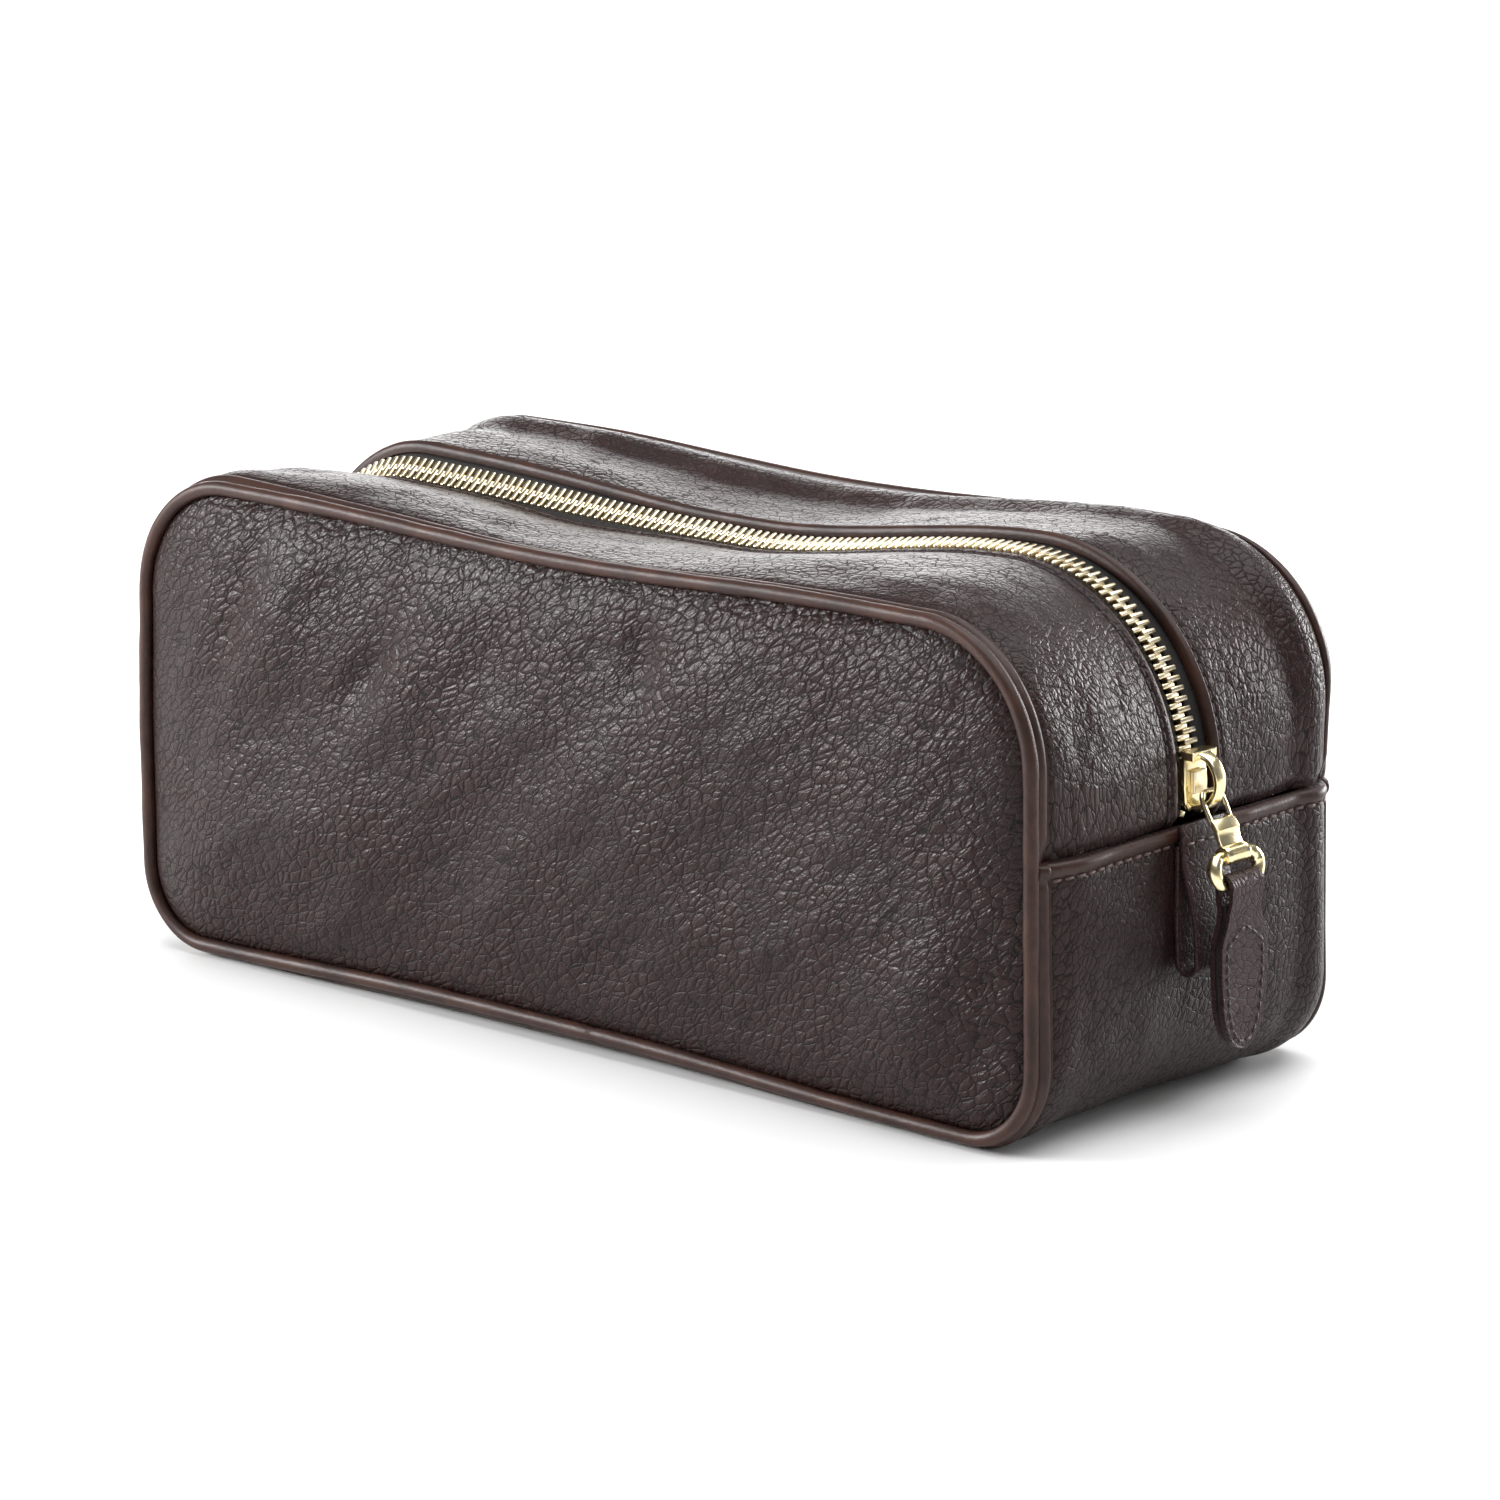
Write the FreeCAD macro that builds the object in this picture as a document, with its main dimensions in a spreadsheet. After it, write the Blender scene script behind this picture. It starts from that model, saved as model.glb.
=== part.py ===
import FreeCAD, Part
import math
import os
import Sketcher

# A leather shaving kit bag: two domed panels with corded piping, a bottom gusset,
# a top gusset split by a metal zip that runs down both ends, a slider with its
# hanging pull, a folded leather tab at each end of the zip, and a sewn-in lining.
#
# Frame: millimetres, +X to the end where the closed slider sits, -Y to the front
# panel, +Z up. The origin is the middle of the base that the bag stands on.

V = FreeCAD.Vector
doc = FreeCAD.newDocument("shaving_kit_bag")

SIZES = [
    ("half_length", 138.0, "middle of the bag to the piping line"),
    ("piping_depth", 52.0, "middle of the bag to each piping line, front or rear"),
    ("outline_bottom", 2.4, "height of the piping line along the bottom"),
    ("outline_top", 114.5, "height of the piping line along the top"),
    ("top_corner", 30.0, "corner radius of the piping line, top"),
    ("bottom_corner", 18.0, "corner radius of the piping line, bottom"),
    ("piping_radius", 1.7, "outer radius of the leather piping"),
    ("cord_radius", 1.0, "radius of the cord inside the piping"),
    ("leather", 1.6, "thickness of the bag leather"),
    ("lining_sheet", 0.6, "thickness of the lining"),
    ("panel_bulge", 6.5, "how far a panel stands out past its piping line"),
    ("panel_inset", 1.9, "piping line to the panel edge"),
    ("gusset_half_length", 139.0, "middle of the bag to the outside of the gusset end"),
    ("gusset_depth", 49.8, "middle of the bag to the gusset edge"),
    ("gusset_top", 115.5, "outside height of the top gusset beside the piping"),
    ("gusset_top_corner", 31.0, "outside radius of the top gusset beside the piping"),
    ("gusset_bottom_corner", 20.0, "outside radius of the bottom gusset corners"),
    ("seam_height", 66.0, "top edge of the bottom gusset on each end"),
    ("zip_top_right", 121.0, "outside height beside the zip at the right corner"),
    ("zip_top", 112.0, "outside height beside the zip along the middle and left"),
    ("zip_corner_right", 47.0, "outside radius beside the zip, right corner"),
    ("zip_corner_left", 32.0, "outside radius beside the zip, left corner"),
    ("sag_start", 92.0, "where the top starts to sag, from the middle"),
    ("sag_end", 10.0, "where the top has sagged fully, from the middle"),
    ("flap_half_length", 84.0, "half length of the part of the top that opens"),
    ("flap_gap", 0.4, "clearance between an opening flap and the fixed corner"),
    ("flap_hinge_depth", 48.6, "middle of the bag to the fold line of a flap"),
    ("zip_opening", 6.0, "middle of the zip to each folded leather edge"),
    ("tape_thickness", 0.6, "zip tape thickness"),
    ("tape_drop", 2.0, "leather surface to the middle of the zip tape"),
    ("tape_outer", 16.0, "middle of the zip to the hidden edge of the tape"),
    ("tape_inner", 2.6, "middle of the zip to the edge the teeth clamp"),
    ("tape_tail", 58.0, "height of the tape's sewn-in lower end"),
    ("tooth_pitch", 2.3, "spacing of the teeth on one tape"),
    ("tooth_width", 0.95, "size of a tooth along the zip"),
    ("tooth_reach", 0.5, "how far a tooth passes the middle of the zip"),
    ("tooth_root", 3.2, "middle of the zip to the back of a tooth"),
    ("tooth_thickness", 2.6, "size of a tooth through the tape"),
    ("chain_end", 75.8, "height where the closed chain ends inside the slider"),
    ("slider_half_width", 4.1, "half width of the slider"),
    ("slider_wall", 0.5, "thickness of the slider's side flanges"),
    ("slider_plate", 1.0, "thickness of the slider's plates"),
    ("slider_channel", 1.68, "middle of the tape to a slider plate"),
    ("slider_slot", 0.8, "middle of the tape to a slider flange"),
    ("slider_low", 6.1, "degrees the slider reaches below the corner centre"),
    ("slider_high", 10.1, "degrees the slider reaches above the corner centre"),
    ("bridge_width", 3.0, "width of the arch on the slider"),
    ("pivot_out", 143.2, "pull link pivot, distance along the length"),
    ("pivot_height", 73.6, "pull link pivot, height"),
    ("link_length", 14.6, "link pivot to the middle of its barrel"),
    ("link_tilt", 27.8, "degrees the link hangs out from the vertical"),
    ("link_half_width", 4.0, "half width of the link and its barrel"),
    ("link_thickness", 1.3, "thickness of the link plate"),
    ("barrel_radius", 2.1, "outer radius of the barrel"),
    ("ring_wire", 1.25, "radius of the ring wire"),
    ("ring_drop", 6.4, "distance between the ring's two bars"),
    ("ring_half_width", 7.35, "middle of the ring to the middle of its side wire"),
    ("ring_upper_bend", 3.1, "bend radius of the ring beside the barrel"),
    ("ring_lower_bend", 1.85, "bend radius of the ring beside the strap"),
    ("ring_tilt", 16.0, "degrees the ring hangs out from the vertical"),
    ("running_gap", 0.08, "clearance of a bar in the bore it turns in"),
    ("strap_width", 15.8, "width of the leather pull's leaf"),
    ("neck_width", 10.8, "width of the leather pull's neck"),
    ("pull_length", 37.0, "ring bar to the tip of the leather pull"),
    ("pull_thickness", 3.4, "thickness of the leather pull"),
    ("pull_layer", 1.2, "thickness of one layer of the pull's leather"),
    ("tab_width", 15.0, "width of the end tabs"),
    ("tab_length", 33.0, "seam to the bottom of an end tab"),
    ("tab_fold", 3.3, "outer radius of the fold at the bottom of an end tab"),
    ("tab_leather", 1.2, "leather thickness of an end tab"),
    ("clearance", 0.3, "gap kept between pieces that move past each other"),
    ("contact_gap", 0.1, "gap between layers that lie on each other"),
]

sheet = doc.addObject("Spreadsheet::Sheet", "Sizes")
for row, (alias, value, note) in enumerate(SIZES, start=1):
    sheet.set(f"A{row}", note)
    sheet.set(f"B{row}", str(value))
    sheet.setAlias(f"B{row}", alias)
doc.recompute()

SUBPARTS = []
AXIS_Y = V(0, 1, 0)


def size(alias):
    """The sheet's value for a driving dimension."""
    return float(sheet.get(alias))


# ---------------------------------------------------------------- shared helpers


def new_body(name):
    """A PartDesign body that becomes one sub-part."""
    body = doc.addObject("PartDesign::Body", name)
    body.Label = name
    SUBPARTS.append(body)
    return body


def new_feature(name, shape):
    """A sub-part whose shape is worked out in code from the sheet's sizes."""
    feature = doc.addObject("Part::Feature", name)
    feature.Label = name
    feature.Shape = shape
    feature.Placement = FreeCAD.Placement()
    SUBPARTS.append(feature)
    return feature


def new_sketch(body, name, role, offset=None):
    """A sketch on one of the body's own origin planes, moved along its normal."""
    sketch = body.newObject("Sketcher::SketchObject", name)
    plane = next(f for f in body.Origin.OriginFeatures if f.Role == role)
    sketch.AttachmentSupport = [(plane, "")]
    sketch.MapMode = "FlatFace"
    if offset is not None:
        sketch.setExpression("AttachmentOffset.Base.z", offset)
    return sketch


def bind(sketch, kind, *arguments):
    """Add a driven constraint; the last argument is the expression that sets it."""
    *references, value, expression = arguments
    index = sketch.addConstraint(Sketcher.Constraint(kind, *references, value))
    name = f"{kind}_{index}"
    sketch.renameConstraint(index, name)
    sketch.setExpression(f"Constraints.{name}", expression)


def line(sketch, start, end):
    """A straight sketch edge between two (across, up) points."""
    return sketch.addGeometry(Part.LineSegment(V(*start, 0), V(*end, 0)), False)


def arc(sketch, centre, radius, from_degrees, to_degrees):
    """A sketch arc, counterclockwise between two angles."""
    circle = Part.Circle(V(*centre, 0), V(0, 0, 1), radius)
    start = math.radians(from_degrees)
    return sketch.addGeometry(Part.ArcOfCircle(circle, start, math.radians(to_degrees)), False)


def outline_sketch(body, name, offset, inset, inset_rule, round_share):
    """The bag's side outline, drawn inset from the piping line, in a plane parallel to XZ.

    round_share scales both corner radii.
    """
    sketch = new_sketch(body, name, "XZ_Plane", offset)
    half = size("half_length") - inset
    low = size("outline_bottom") + inset
    high = size("outline_top") - inset
    upper = size("top_corner") * round_share
    lower = size("bottom_corner") * round_share
    line(sketch, (-half + lower, low), (half - lower, low))
    arc(sketch, (half - lower, low + lower), lower, -90, 0)
    line(sketch, (half, low + lower), (half, high - upper))
    arc(sketch, (half - upper, high - upper), upper, 0, 90)
    line(sketch, (half - upper, high), (-half + upper, high))
    arc(sketch, (-half + upper, high - upper), upper, 90, 180)
    line(sketch, (-half, high - upper), (-half, low + lower))
    arc(sketch, (-half + lower, low + lower), lower, 180, 270)
    for edge in range(8):
        sketch.addConstraint(Sketcher.Constraint("Tangent", edge, 2, (edge + 1) % 8, 1))
    for edge in (0, 4):
        sketch.addConstraint(Sketcher.Constraint("Horizontal", edge))
    for edge in (2, 6):
        sketch.addConstraint(Sketcher.Constraint("Vertical", edge))
    sketch.addConstraint(Sketcher.Constraint("Equal", 1, 7))
    sketch.addConstraint(Sketcher.Constraint("Equal", 3, 5))
    bind(sketch, "Radius", 1, lower, f"Sizes.bottom_corner * {round_share}")
    bind(sketch, "Radius", 3, upper, f"Sizes.top_corner * {round_share}")
    bind(sketch, "DistanceX", -1, 1, 2, 1, half, f"Sizes.half_length - ({inset_rule})")
    bind(sketch, "DistanceX", 6, 1, -1, 1, half, f"Sizes.half_length - ({inset_rule})")
    bind(sketch, "DistanceY", -1, 1, 0, 1, low, f"Sizes.outline_bottom + ({inset_rule})")
    bind(sketch, "DistanceY", -1, 1, 4, 1, high, f"Sizes.outline_top - ({inset_rule})")
    return sketch


def circle_sketch(body, name, role, across, across_rule, up, up_rule, radius, radius_rule):
    """One circle at a stated place."""
    sketch = new_sketch(body, name, role)
    sketch.addGeometry(Part.Circle(V(across, up, 0), V(0, 0, 1), radius), False)
    bind(sketch, "Radius", 0, radius, radius_rule)
    if across >= 0:
        bind(sketch, "DistanceX", -1, 1, 0, 3, across, across_rule)
    else:
        bind(sketch, "DistanceX", 0, 3, -1, 1, -across, across_rule)
    bind(sketch, "DistanceY", -1, 1, 0, 3, up, up_rule)
    return sketch


def pad_both_ways(body, sketch, name, length):
    """Pad a sketch the same distance to both sides of its plane."""
    pad = body.newObject("PartDesign::Pad", name)
    pad.Profile = sketch
    pad.SideType = "Symmetric"
    pad.setExpression("Length", length)
    return pad


def cut_both_ways(body, sketch, name, length):
    """Pocket a sketch to both sides of its plane."""
    pocket = body.newObject("PartDesign::Pocket", name)
    pocket.Profile = sketch
    pocket.SideType = "Symmetric"
    pocket.setExpression("Length", length)
    return pocket


# ------------------------------------------------------------- panels and piping


def panel(name, side):
    """A domed leather panel; side is -1 for the front and +1 for the back."""
    body = new_body(name)
    turn = f"{-side} * "
    steps = [
        ("edge", size("panel_inset"), "Sizes.panel_inset", 0.94, 0.0),
        ("shoulder", 9.0, "9", 0.8, 0.58),
        ("crown", 30.0, "30", 0.5, 1.0),
    ]
    outside = []
    for step, inset, rule, share, rise in steps:
        depth = f"{turn}(Sizes.piping_depth - 0.4 + Sizes.panel_bulge * {rise})"
        sketch = outline_sketch(body, f"{name}_{step}", depth, inset, rule, share)
        outside.append(sketch)
    dome = body.newObject("PartDesign::AdditiveLoft", f"{name}_dome")
    dome.Profile = outside[0]
    dome.Sections = [(sketch, [""]) for sketch in outside[1:]]
    inside = []
    for step, inset, rule, share, rise in steps:
        back = "0" if rise == 0.0 else "Sizes.leather"
        rule = f"{rule} + Sizes.leather"
        inset = inset + size("leather")
        depth = f"{turn}(Sizes.piping_depth - 0.4 + Sizes.panel_bulge * {rise} - {back})"
        sketch = outline_sketch(body, f"{name}_{step}_inside", depth, inset, rule, share)
        inside.append(sketch)
    hollow = body.newObject("PartDesign::SubtractiveLoft", f"{name}_hollow")
    hollow.Profile = inside[0]
    hollow.Sections = [(sketch, [""]) for sketch in inside[1:]]


def swept_outline(body, name, side, radius_alias, kind):
    """Sweep a round section along the piping line."""
    depth = f"{-side} * Sizes.piping_depth"
    path = outline_sketch(body, f"{name}_path", depth, 0.0, "0", 1.0)
    section = circle_sketch(
        body, f"{name}_section", "YZ_Plane",
        side * size("piping_depth"), "Sizes.piping_depth",
        size("outline_top"), "Sizes.outline_top",
        size(radius_alias), f"Sizes.{radius_alias}",
    )
    pipe = body.newObject(kind, name)
    pipe.Profile = section
    pipe.Spine = (path, [f"Edge{number}" for number in range(1, 9)])


def piping(side, place):
    """The leather piping tube of one panel and the cord inside it."""
    tube = new_body(f"{place}_piping")
    swept_outline(tube, f"{place}_piping_skin", side, "piping_radius", "PartDesign::AdditivePipe")
    swept_outline(tube, f"{place}_piping_bore", side, "cord_radius", "PartDesign::SubtractivePipe")
    cord = new_body(f"{place}_piping_cord")
    swept_outline(cord, f"{place}_cord_fill", side, "cord_radius", "PartDesign::AdditivePipe")


def flat_layer(name, side, inner, outer, inset_rule, inset, width=None):
    """A flat layer behind a panel, a full sheet or a band of the stated width."""
    body = new_body(name)
    depth = f"{-side} * ({inner})"
    edge = outline_sketch(body, f"{name}_edge", depth, inset, inset_rule, 0.96)
    pad = body.newObject("PartDesign::Pad", f"{name}_sheet")
    pad.Profile = edge
    pad.setExpression("Length", f"{outer} - ({inner})")
    pad.Reversed = side > 0
    if width is None:
        return
    rule = f"{inset_rule} + {width}"
    window = outline_sketch(body, f"{name}_window", depth, inset + width, rule, 0.6)
    pocket = body.newObject("PartDesign::Pocket", f"{name}_opening")
    pocket.Profile = window
    pocket.Type = "ThroughAll"
    pocket.SideType = "Symmetric"


# ------------------------------------------------------------------ bottom gusset


def u_sketch(body, name, drop, drop_rule, sheet_alias, top, top_rule):
    """A U along the bag's base and ends: drop is how far inside the gusset it lies."""
    sketch = new_sketch(body, name, "XZ_Plane")
    thick = size(sheet_alias)
    corner = size("gusset_bottom_corner")
    far = size("gusset_half_length") - drop
    near = far - thick
    outer, inner = corner - drop, corner - drop - thick
    mid = size("gusset_half_length") - corner
    line(sketch, (far, top), (far, corner))
    arc(sketch, (mid, corner), outer, -90, 0)
    line(sketch, (mid, drop), (-mid, drop))
    arc(sketch, (-mid, corner), outer, 180, 270)
    line(sketch, (-far, corner), (-far, top))
    line(sketch, (-far, top), (-near, top))
    line(sketch, (-near, top), (-near, corner))
    arc(sketch, (-mid, corner), inner, 180, 270)
    line(sketch, (-mid, drop + thick), (mid, drop + thick))
    arc(sketch, (mid, corner), inner, -90, 0)
    line(sketch, (near, corner), (near, top))
    line(sketch, (near, top), (far, top))
    tangents = [(0, 2, 1, 2), (1, 1, 2, 1), (2, 2, 3, 2), (3, 1, 4, 1)]
    tangents += [(6, 2, 7, 1), (7, 2, 8, 1), (8, 2, 9, 1), (9, 2, 10, 1)]
    for joint in tangents:
        sketch.addConstraint(Sketcher.Constraint("Tangent", *joint))
    for joint in [(4, 2, 5, 1), (5, 2, 6, 1), (10, 2, 11, 1), (11, 2, 0, 1)]:
        sketch.addConstraint(Sketcher.Constraint("Coincident", *joint))
    for edge in (2, 5, 8, 11):
        sketch.addConstraint(Sketcher.Constraint("Horizontal", edge))
    for edge in (0, 4, 6, 10):
        sketch.addConstraint(Sketcher.Constraint("Vertical", edge))
    far_rule = f"Sizes.gusset_half_length - ({drop_rule})"
    corner_rule = f"Sizes.gusset_bottom_corner - ({drop_rule})"
    thick_rule = f"Sizes.{sheet_alias}"
    bind(sketch, "DistanceX", -1, 1, 0, 1, far, far_rule)
    bind(sketch, "DistanceX", 4, 2, -1, 1, far, far_rule)
    bind(sketch, "DistanceX", 11, 1, 11, 2, thick, thick_rule)
    bind(sketch, "DistanceX", 5, 1, 5, 2, thick, thick_rule)
    bind(sketch, "DistanceY", -1, 1, 0, 1, top, top_rule)
    bind(sketch, "DistanceY", -1, 1, 4, 2, top, top_rule)
    bind(sketch, "DistanceY", 2, 1, 8, 2, thick, thick_rule)
    if drop > 0:
        bind(sketch, "DistanceY", -1, 1, 2, 1, drop, drop_rule)
    else:
        sketch.addConstraint(Sketcher.Constraint("PointOnObject", 2, 1, -1))
    for edge, radius, rule in (
        (1, outer, corner_rule),
        (3, outer, corner_rule),
        (7, inner, f"{corner_rule} - {thick_rule}"),
        (9, inner, f"{corner_rule} - {thick_rule}"),
    ):
        bind(sketch, "Radius", edge, radius, rule)
    return sketch


def bottom_gusset():
    """The strip that makes the base and the lower half of both ends."""
    body = new_body("bottom_gusset")
    top = size("seam_height")
    sketch = u_sketch(body, "bottom_gusset_side", 0.0, "0", "leather", top, "Sizes.seam_height")
    pad_both_ways(body, sketch, "bottom_gusset_strip", "2 * Sizes.gusset_depth")


def gusset_lining():
    """The lining of the base and ends, inside the bottom gusset and the tape tails."""
    body = new_body("gusset_lining")
    drop = size("tape_drop") + 0.5
    top = size("seam_height") - 2.0
    drop_rule = "Sizes.tape_drop + 0.5"
    top_rule = "Sizes.seam_height - 2"
    sketch = u_sketch(body, "gusset_lining_side", drop, drop_rule, "lining_sheet", top, top_rule)
    pad_both_ways(body, sketch, "gusset_lining_strip", "2 * (Sizes.gusset_depth - 1)")


# --------------------------------------------------------- top gusset, zip corners


def blend(start, end, share):
    """The value a share of the way from start to end."""
    return start + (end - start) * share


def share_to_zip(depth):
    """0 at the gusset's piping edge, 1 at the zip edge, for a distance from the middle."""
    piping_edge = size("gusset_depth")
    zip_edge = size("zip_opening")
    return min(max((piping_edge - depth) / (piping_edge - zip_edge), 0.0), 1.0)


def corner_round(end, depth):
    """Centre and outside radius of the top corner at a distance from the zip.

    end is +1 for the right corner and -1 for the left.
    """
    share = share_to_zip(depth)
    zip_radius = size("zip_corner_right") if end > 0 else size("zip_corner_left")
    zip_top = size("zip_top_right") if end > 0 else size("zip_top")
    radius = blend(size("gusset_top_corner"), zip_radius, share)
    top = blend(size("gusset_top"), zip_top, share)
    centre = V(end * (size("gusset_half_length") - radius), 0, top - radius)
    return centre, radius


def sagging_height(along, depth):
    """Outside height of the top gusset at a place along the bag."""
    start, stop = size("sag_start"), size("sag_end")
    share = min(max((start - along) / (start - stop), 0.0), 1.0)
    eased = share * share * (3 - 2 * share)
    zip_height = blend(size("zip_top_right"), size("zip_top"), eased)
    return blend(size("gusset_top"), zip_height, share_to_zip(depth))


def corner_band(end, depth, row, above, outer_drop, inner_drop, low):
    """Closed section of a corner layer in the plane Y = row.

    The layer lies between two distances under the outside surface, from the height
    low up round the corner to the line where the opening flap starts.
    """
    centre, radius = corner_round(end, depth)
    reach = end * (size("flap_half_length") + size("flap_gap"))
    edges = []
    corners = []
    for drop in (outer_drop, inner_drop):
        wall = V(centre.x + end * (radius - drop), row, 0)
        middle = V(centre.x, row, centre.z)
        slant = math.sqrt(0.5) * (radius - drop)
        start = V(wall.x, row, low)
        side = V(wall.x, row, centre.z)
        peak = V(middle.x, row, centre.z + radius - drop)
        finish = V(reach, row, above - drop)
        shoulder = V(middle.x + end * slant, row, middle.z + slant)
        run = [Part.LineSegment(start, side), Part.Arc(side, shoulder, peak)]
        run.append(Part.LineSegment(peak, finish))
        edges.append([curve.toShape() for curve in run])
        corners.append((start, finish))
    (outer_start, outer_finish), (inner_start, inner_finish) = corners
    closing = Part.LineSegment(outer_finish, inner_finish).toShape()
    bottom = Part.LineSegment(inner_start, outer_start).toShape()
    return Part.Wire(edges[0] + [closing] + edges[1][::-1] + [bottom])


def corner_layer(end, side, depths, outer_drop, inner_drop, low):
    """A layer of the top gusset that wraps one corner, through sections at the depths."""
    wires = []
    for depth in depths:
        above = sagging_height(end * size("flap_half_length"), depth)
        wires.append(corner_band(end, depth, side * depth, above, outer_drop, inner_drop, low))
    return Part.makeLoft(wires, True, True)


def flap_band(depth, row, outer_drop, inner_drop):
    """Closed section of a flap layer in the plane Y = row."""
    half = size("flap_half_length")
    spans = 16
    places = [half * (2 * index / spans - 1) for index in range(spans + 1)]
    runs = []
    for drop in (outer_drop, inner_drop):
        points = [V(x, row, sagging_height(x, depth) - drop) for x in places]
        curve = Part.BSplineCurve()
        curve.interpolate(points)
        runs.append((curve.toShape(), points[0], points[-1]))
    (top, top_start, top_end), (under, under_start, under_end) = runs
    right = Part.LineSegment(top_end, under_end).toShape()
    left = Part.LineSegment(under_start, top_start).toShape()
    return Part.Wire([top, right, under, left])


def flap_layer(side, depths, outer_drop, inner_drop):
    """A layer of the part of the top that opens, through sections at the depths."""
    wires = [flap_band(depth, side * depth, outer_drop, inner_drop) for depth in depths]
    return Part.makeLoft(wires, True, True)


def layer_drops():
    """Depth under the outside surface of the leather, the tape and the lining."""
    half_tape = size("tape_thickness") / 2
    tape = (size("tape_drop") - half_tape, size("tape_drop") + half_tape)
    lining_start = tape[1] + size("contact_gap")
    return {
        "leather": (0.0, size("leather")),
        "tape": tape,
        "lining": (lining_start, lining_start + size("lining_sheet")),
    }


LINING_EDGE = 12.0  # middle of the zip to the edge of the lining beside it


def top_gusset():
    """Leather, tape and lining of the top gusset: four corners and two flaps."""
    drops = layer_drops()
    piping_edge = size("gusset_depth")
    hinge_edge = size("flap_hinge_depth")
    zip_edge = size("zip_opening")
    above_seam = size("seam_height") + size("clearance")
    tape_rows = [size("tape_outer"), zip_edge, size("tape_inner")]
    lining_rows = [piping_edge - 1.0, LINING_EDGE]
    for end, end_name in ((1, "right"), (-1, "left")):
        for side, place in ((-1, "front"), (1, "rear")):
            prefix = f"{place}_{end_name}"
            leather = corner_layer(end, side, [piping_edge, zip_edge], *drops["leather"], above_seam)
            new_feature(f"{prefix}_top_gusset", leather)
            tape = corner_layer(end, side, tape_rows, *drops["tape"], size("tape_tail"))
            new_feature(f"{prefix}_zip_tape", tape)
            lining = corner_layer(end, side, lining_rows, *drops["lining"], above_seam)
            new_feature(f"{prefix}_lining", lining)
    for side, place in ((-1, "front"), (1, "rear")):
        leather = flap_layer(side, [hinge_edge, zip_edge], *drops["leather"])
        new_feature(f"{place}_flap_gusset", leather)
        new_feature(f"{place}_flap_zip_tape", flap_layer(side, tape_rows, *drops["tape"]))
        lining = flap_layer(side, [hinge_edge, LINING_EDGE], *drops["lining"])
        new_feature(f"{place}_flap_lining", lining)


# ------------------------------------------------------------------------ zip teeth


def chain_path():
    """Points a twentieth of a millimetre apart along the middle of the zip.

    It runs from the slider up over the right corner, along the top and down the left
    end; each point comes with the angle of the path.
    """
    step = 0.05
    points = []
    drop = size("tape_drop")
    right, right_radius = corner_round(1, 0.0)
    left, left_radius = corner_round(-1, 0.0)
    right_radius -= drop
    left_radius -= drop
    start = math.asin((size("chain_end") - right.z) / right_radius)
    count = int((math.pi / 2 - start) * right_radius / step)
    for index in range(count):
        angle = start + (math.pi / 2 - start) * index / count
        points.append(right + V(math.cos(angle), 0, math.sin(angle)) * right_radius)
    across = right.x - left.x
    count = int(across / step)
    for index in range(count):
        x = right.x - across * index / count
        points.append(V(x, 0, sagging_height(x, 0.0) - drop))
    count = int(math.pi / 2 * left_radius / step)
    for index in range(count):
        angle = math.pi / 2 * (1 + index / count)
        points.append(left + V(math.cos(angle), 0, math.sin(angle)) * left_radius)
    tail = left.z - size("chain_end") + 4.0
    count = int(tail / step)
    for index in range(count):
        points.append(V(left.x - left_radius, 0, left.z - tail * index / count))
    return points


def tooth(side):
    """One tooth at the origin, its jaws open for the edge of the tape."""
    width, reach = size("tooth_width"), size("tooth_reach")
    root, thick = size("tooth_root"), size("tooth_thickness")
    length = root + reach
    solid = Part.makeBox(width, length, thick, V(-width / 2, -root, -thick / 2))
    slot = size("tape_thickness") + 2 * size("contact_gap")
    depth = root - size("tape_inner") + 0.1
    jaws = Part.makeBox(2 * width, depth, slot, V(-width, -root, -slot / 2))
    solid = solid.cut(jaws)
    if side > 0:
        solid = solid.mirror(V(0, 0, 0), V(0, 1, 0))
    return solid


def teeth():
    """Both rows of teeth, grouped by the piece of tape that carries them."""
    points = chain_path()
    travelled = [0.0]
    for before, after in zip(points, points[1:]):
        travelled.append(travelled[-1] + (after - before).Length)
    cut_line = size("flap_half_length") + size("flap_gap") / 2
    keep_off = size("tooth_width") / 2 + size("flap_gap")
    pitch = size("tooth_pitch")
    for side, place in ((-1, "front"), (1, "rear")):
        groups = {"right": [], "flap": [], "left": []}
        pattern = tooth(side)
        target = pitch / 2 if side < 0 else pitch
        for index in range(1, len(points) - 1):
            if travelled[index] < target:
                continue
            target += pitch
            point = points[index]
            if abs(abs(point.x) - cut_line) < keep_off:
                continue
            along = points[index + 1] - points[index - 1]
            angle = math.degrees(math.atan2(-along.z, along.x))
            placed = pattern.copy()
            placed.Placement = FreeCAD.Placement(point, FreeCAD.Rotation(AXIS_Y, angle))
            if abs(point.x) < cut_line:
                groups["flap"].append(placed)
            else:
                groups["right" if point.x > 0 else "left"].append(placed)
        new_feature(f"{place}_flap_teeth", Part.makeCompound(groups["flap"]))
        new_feature(f"{place}_right_teeth", Part.makeCompound(groups["right"]))
        new_feature(f"{place}_left_teeth", Part.makeCompound(groups["left"]))


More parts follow.
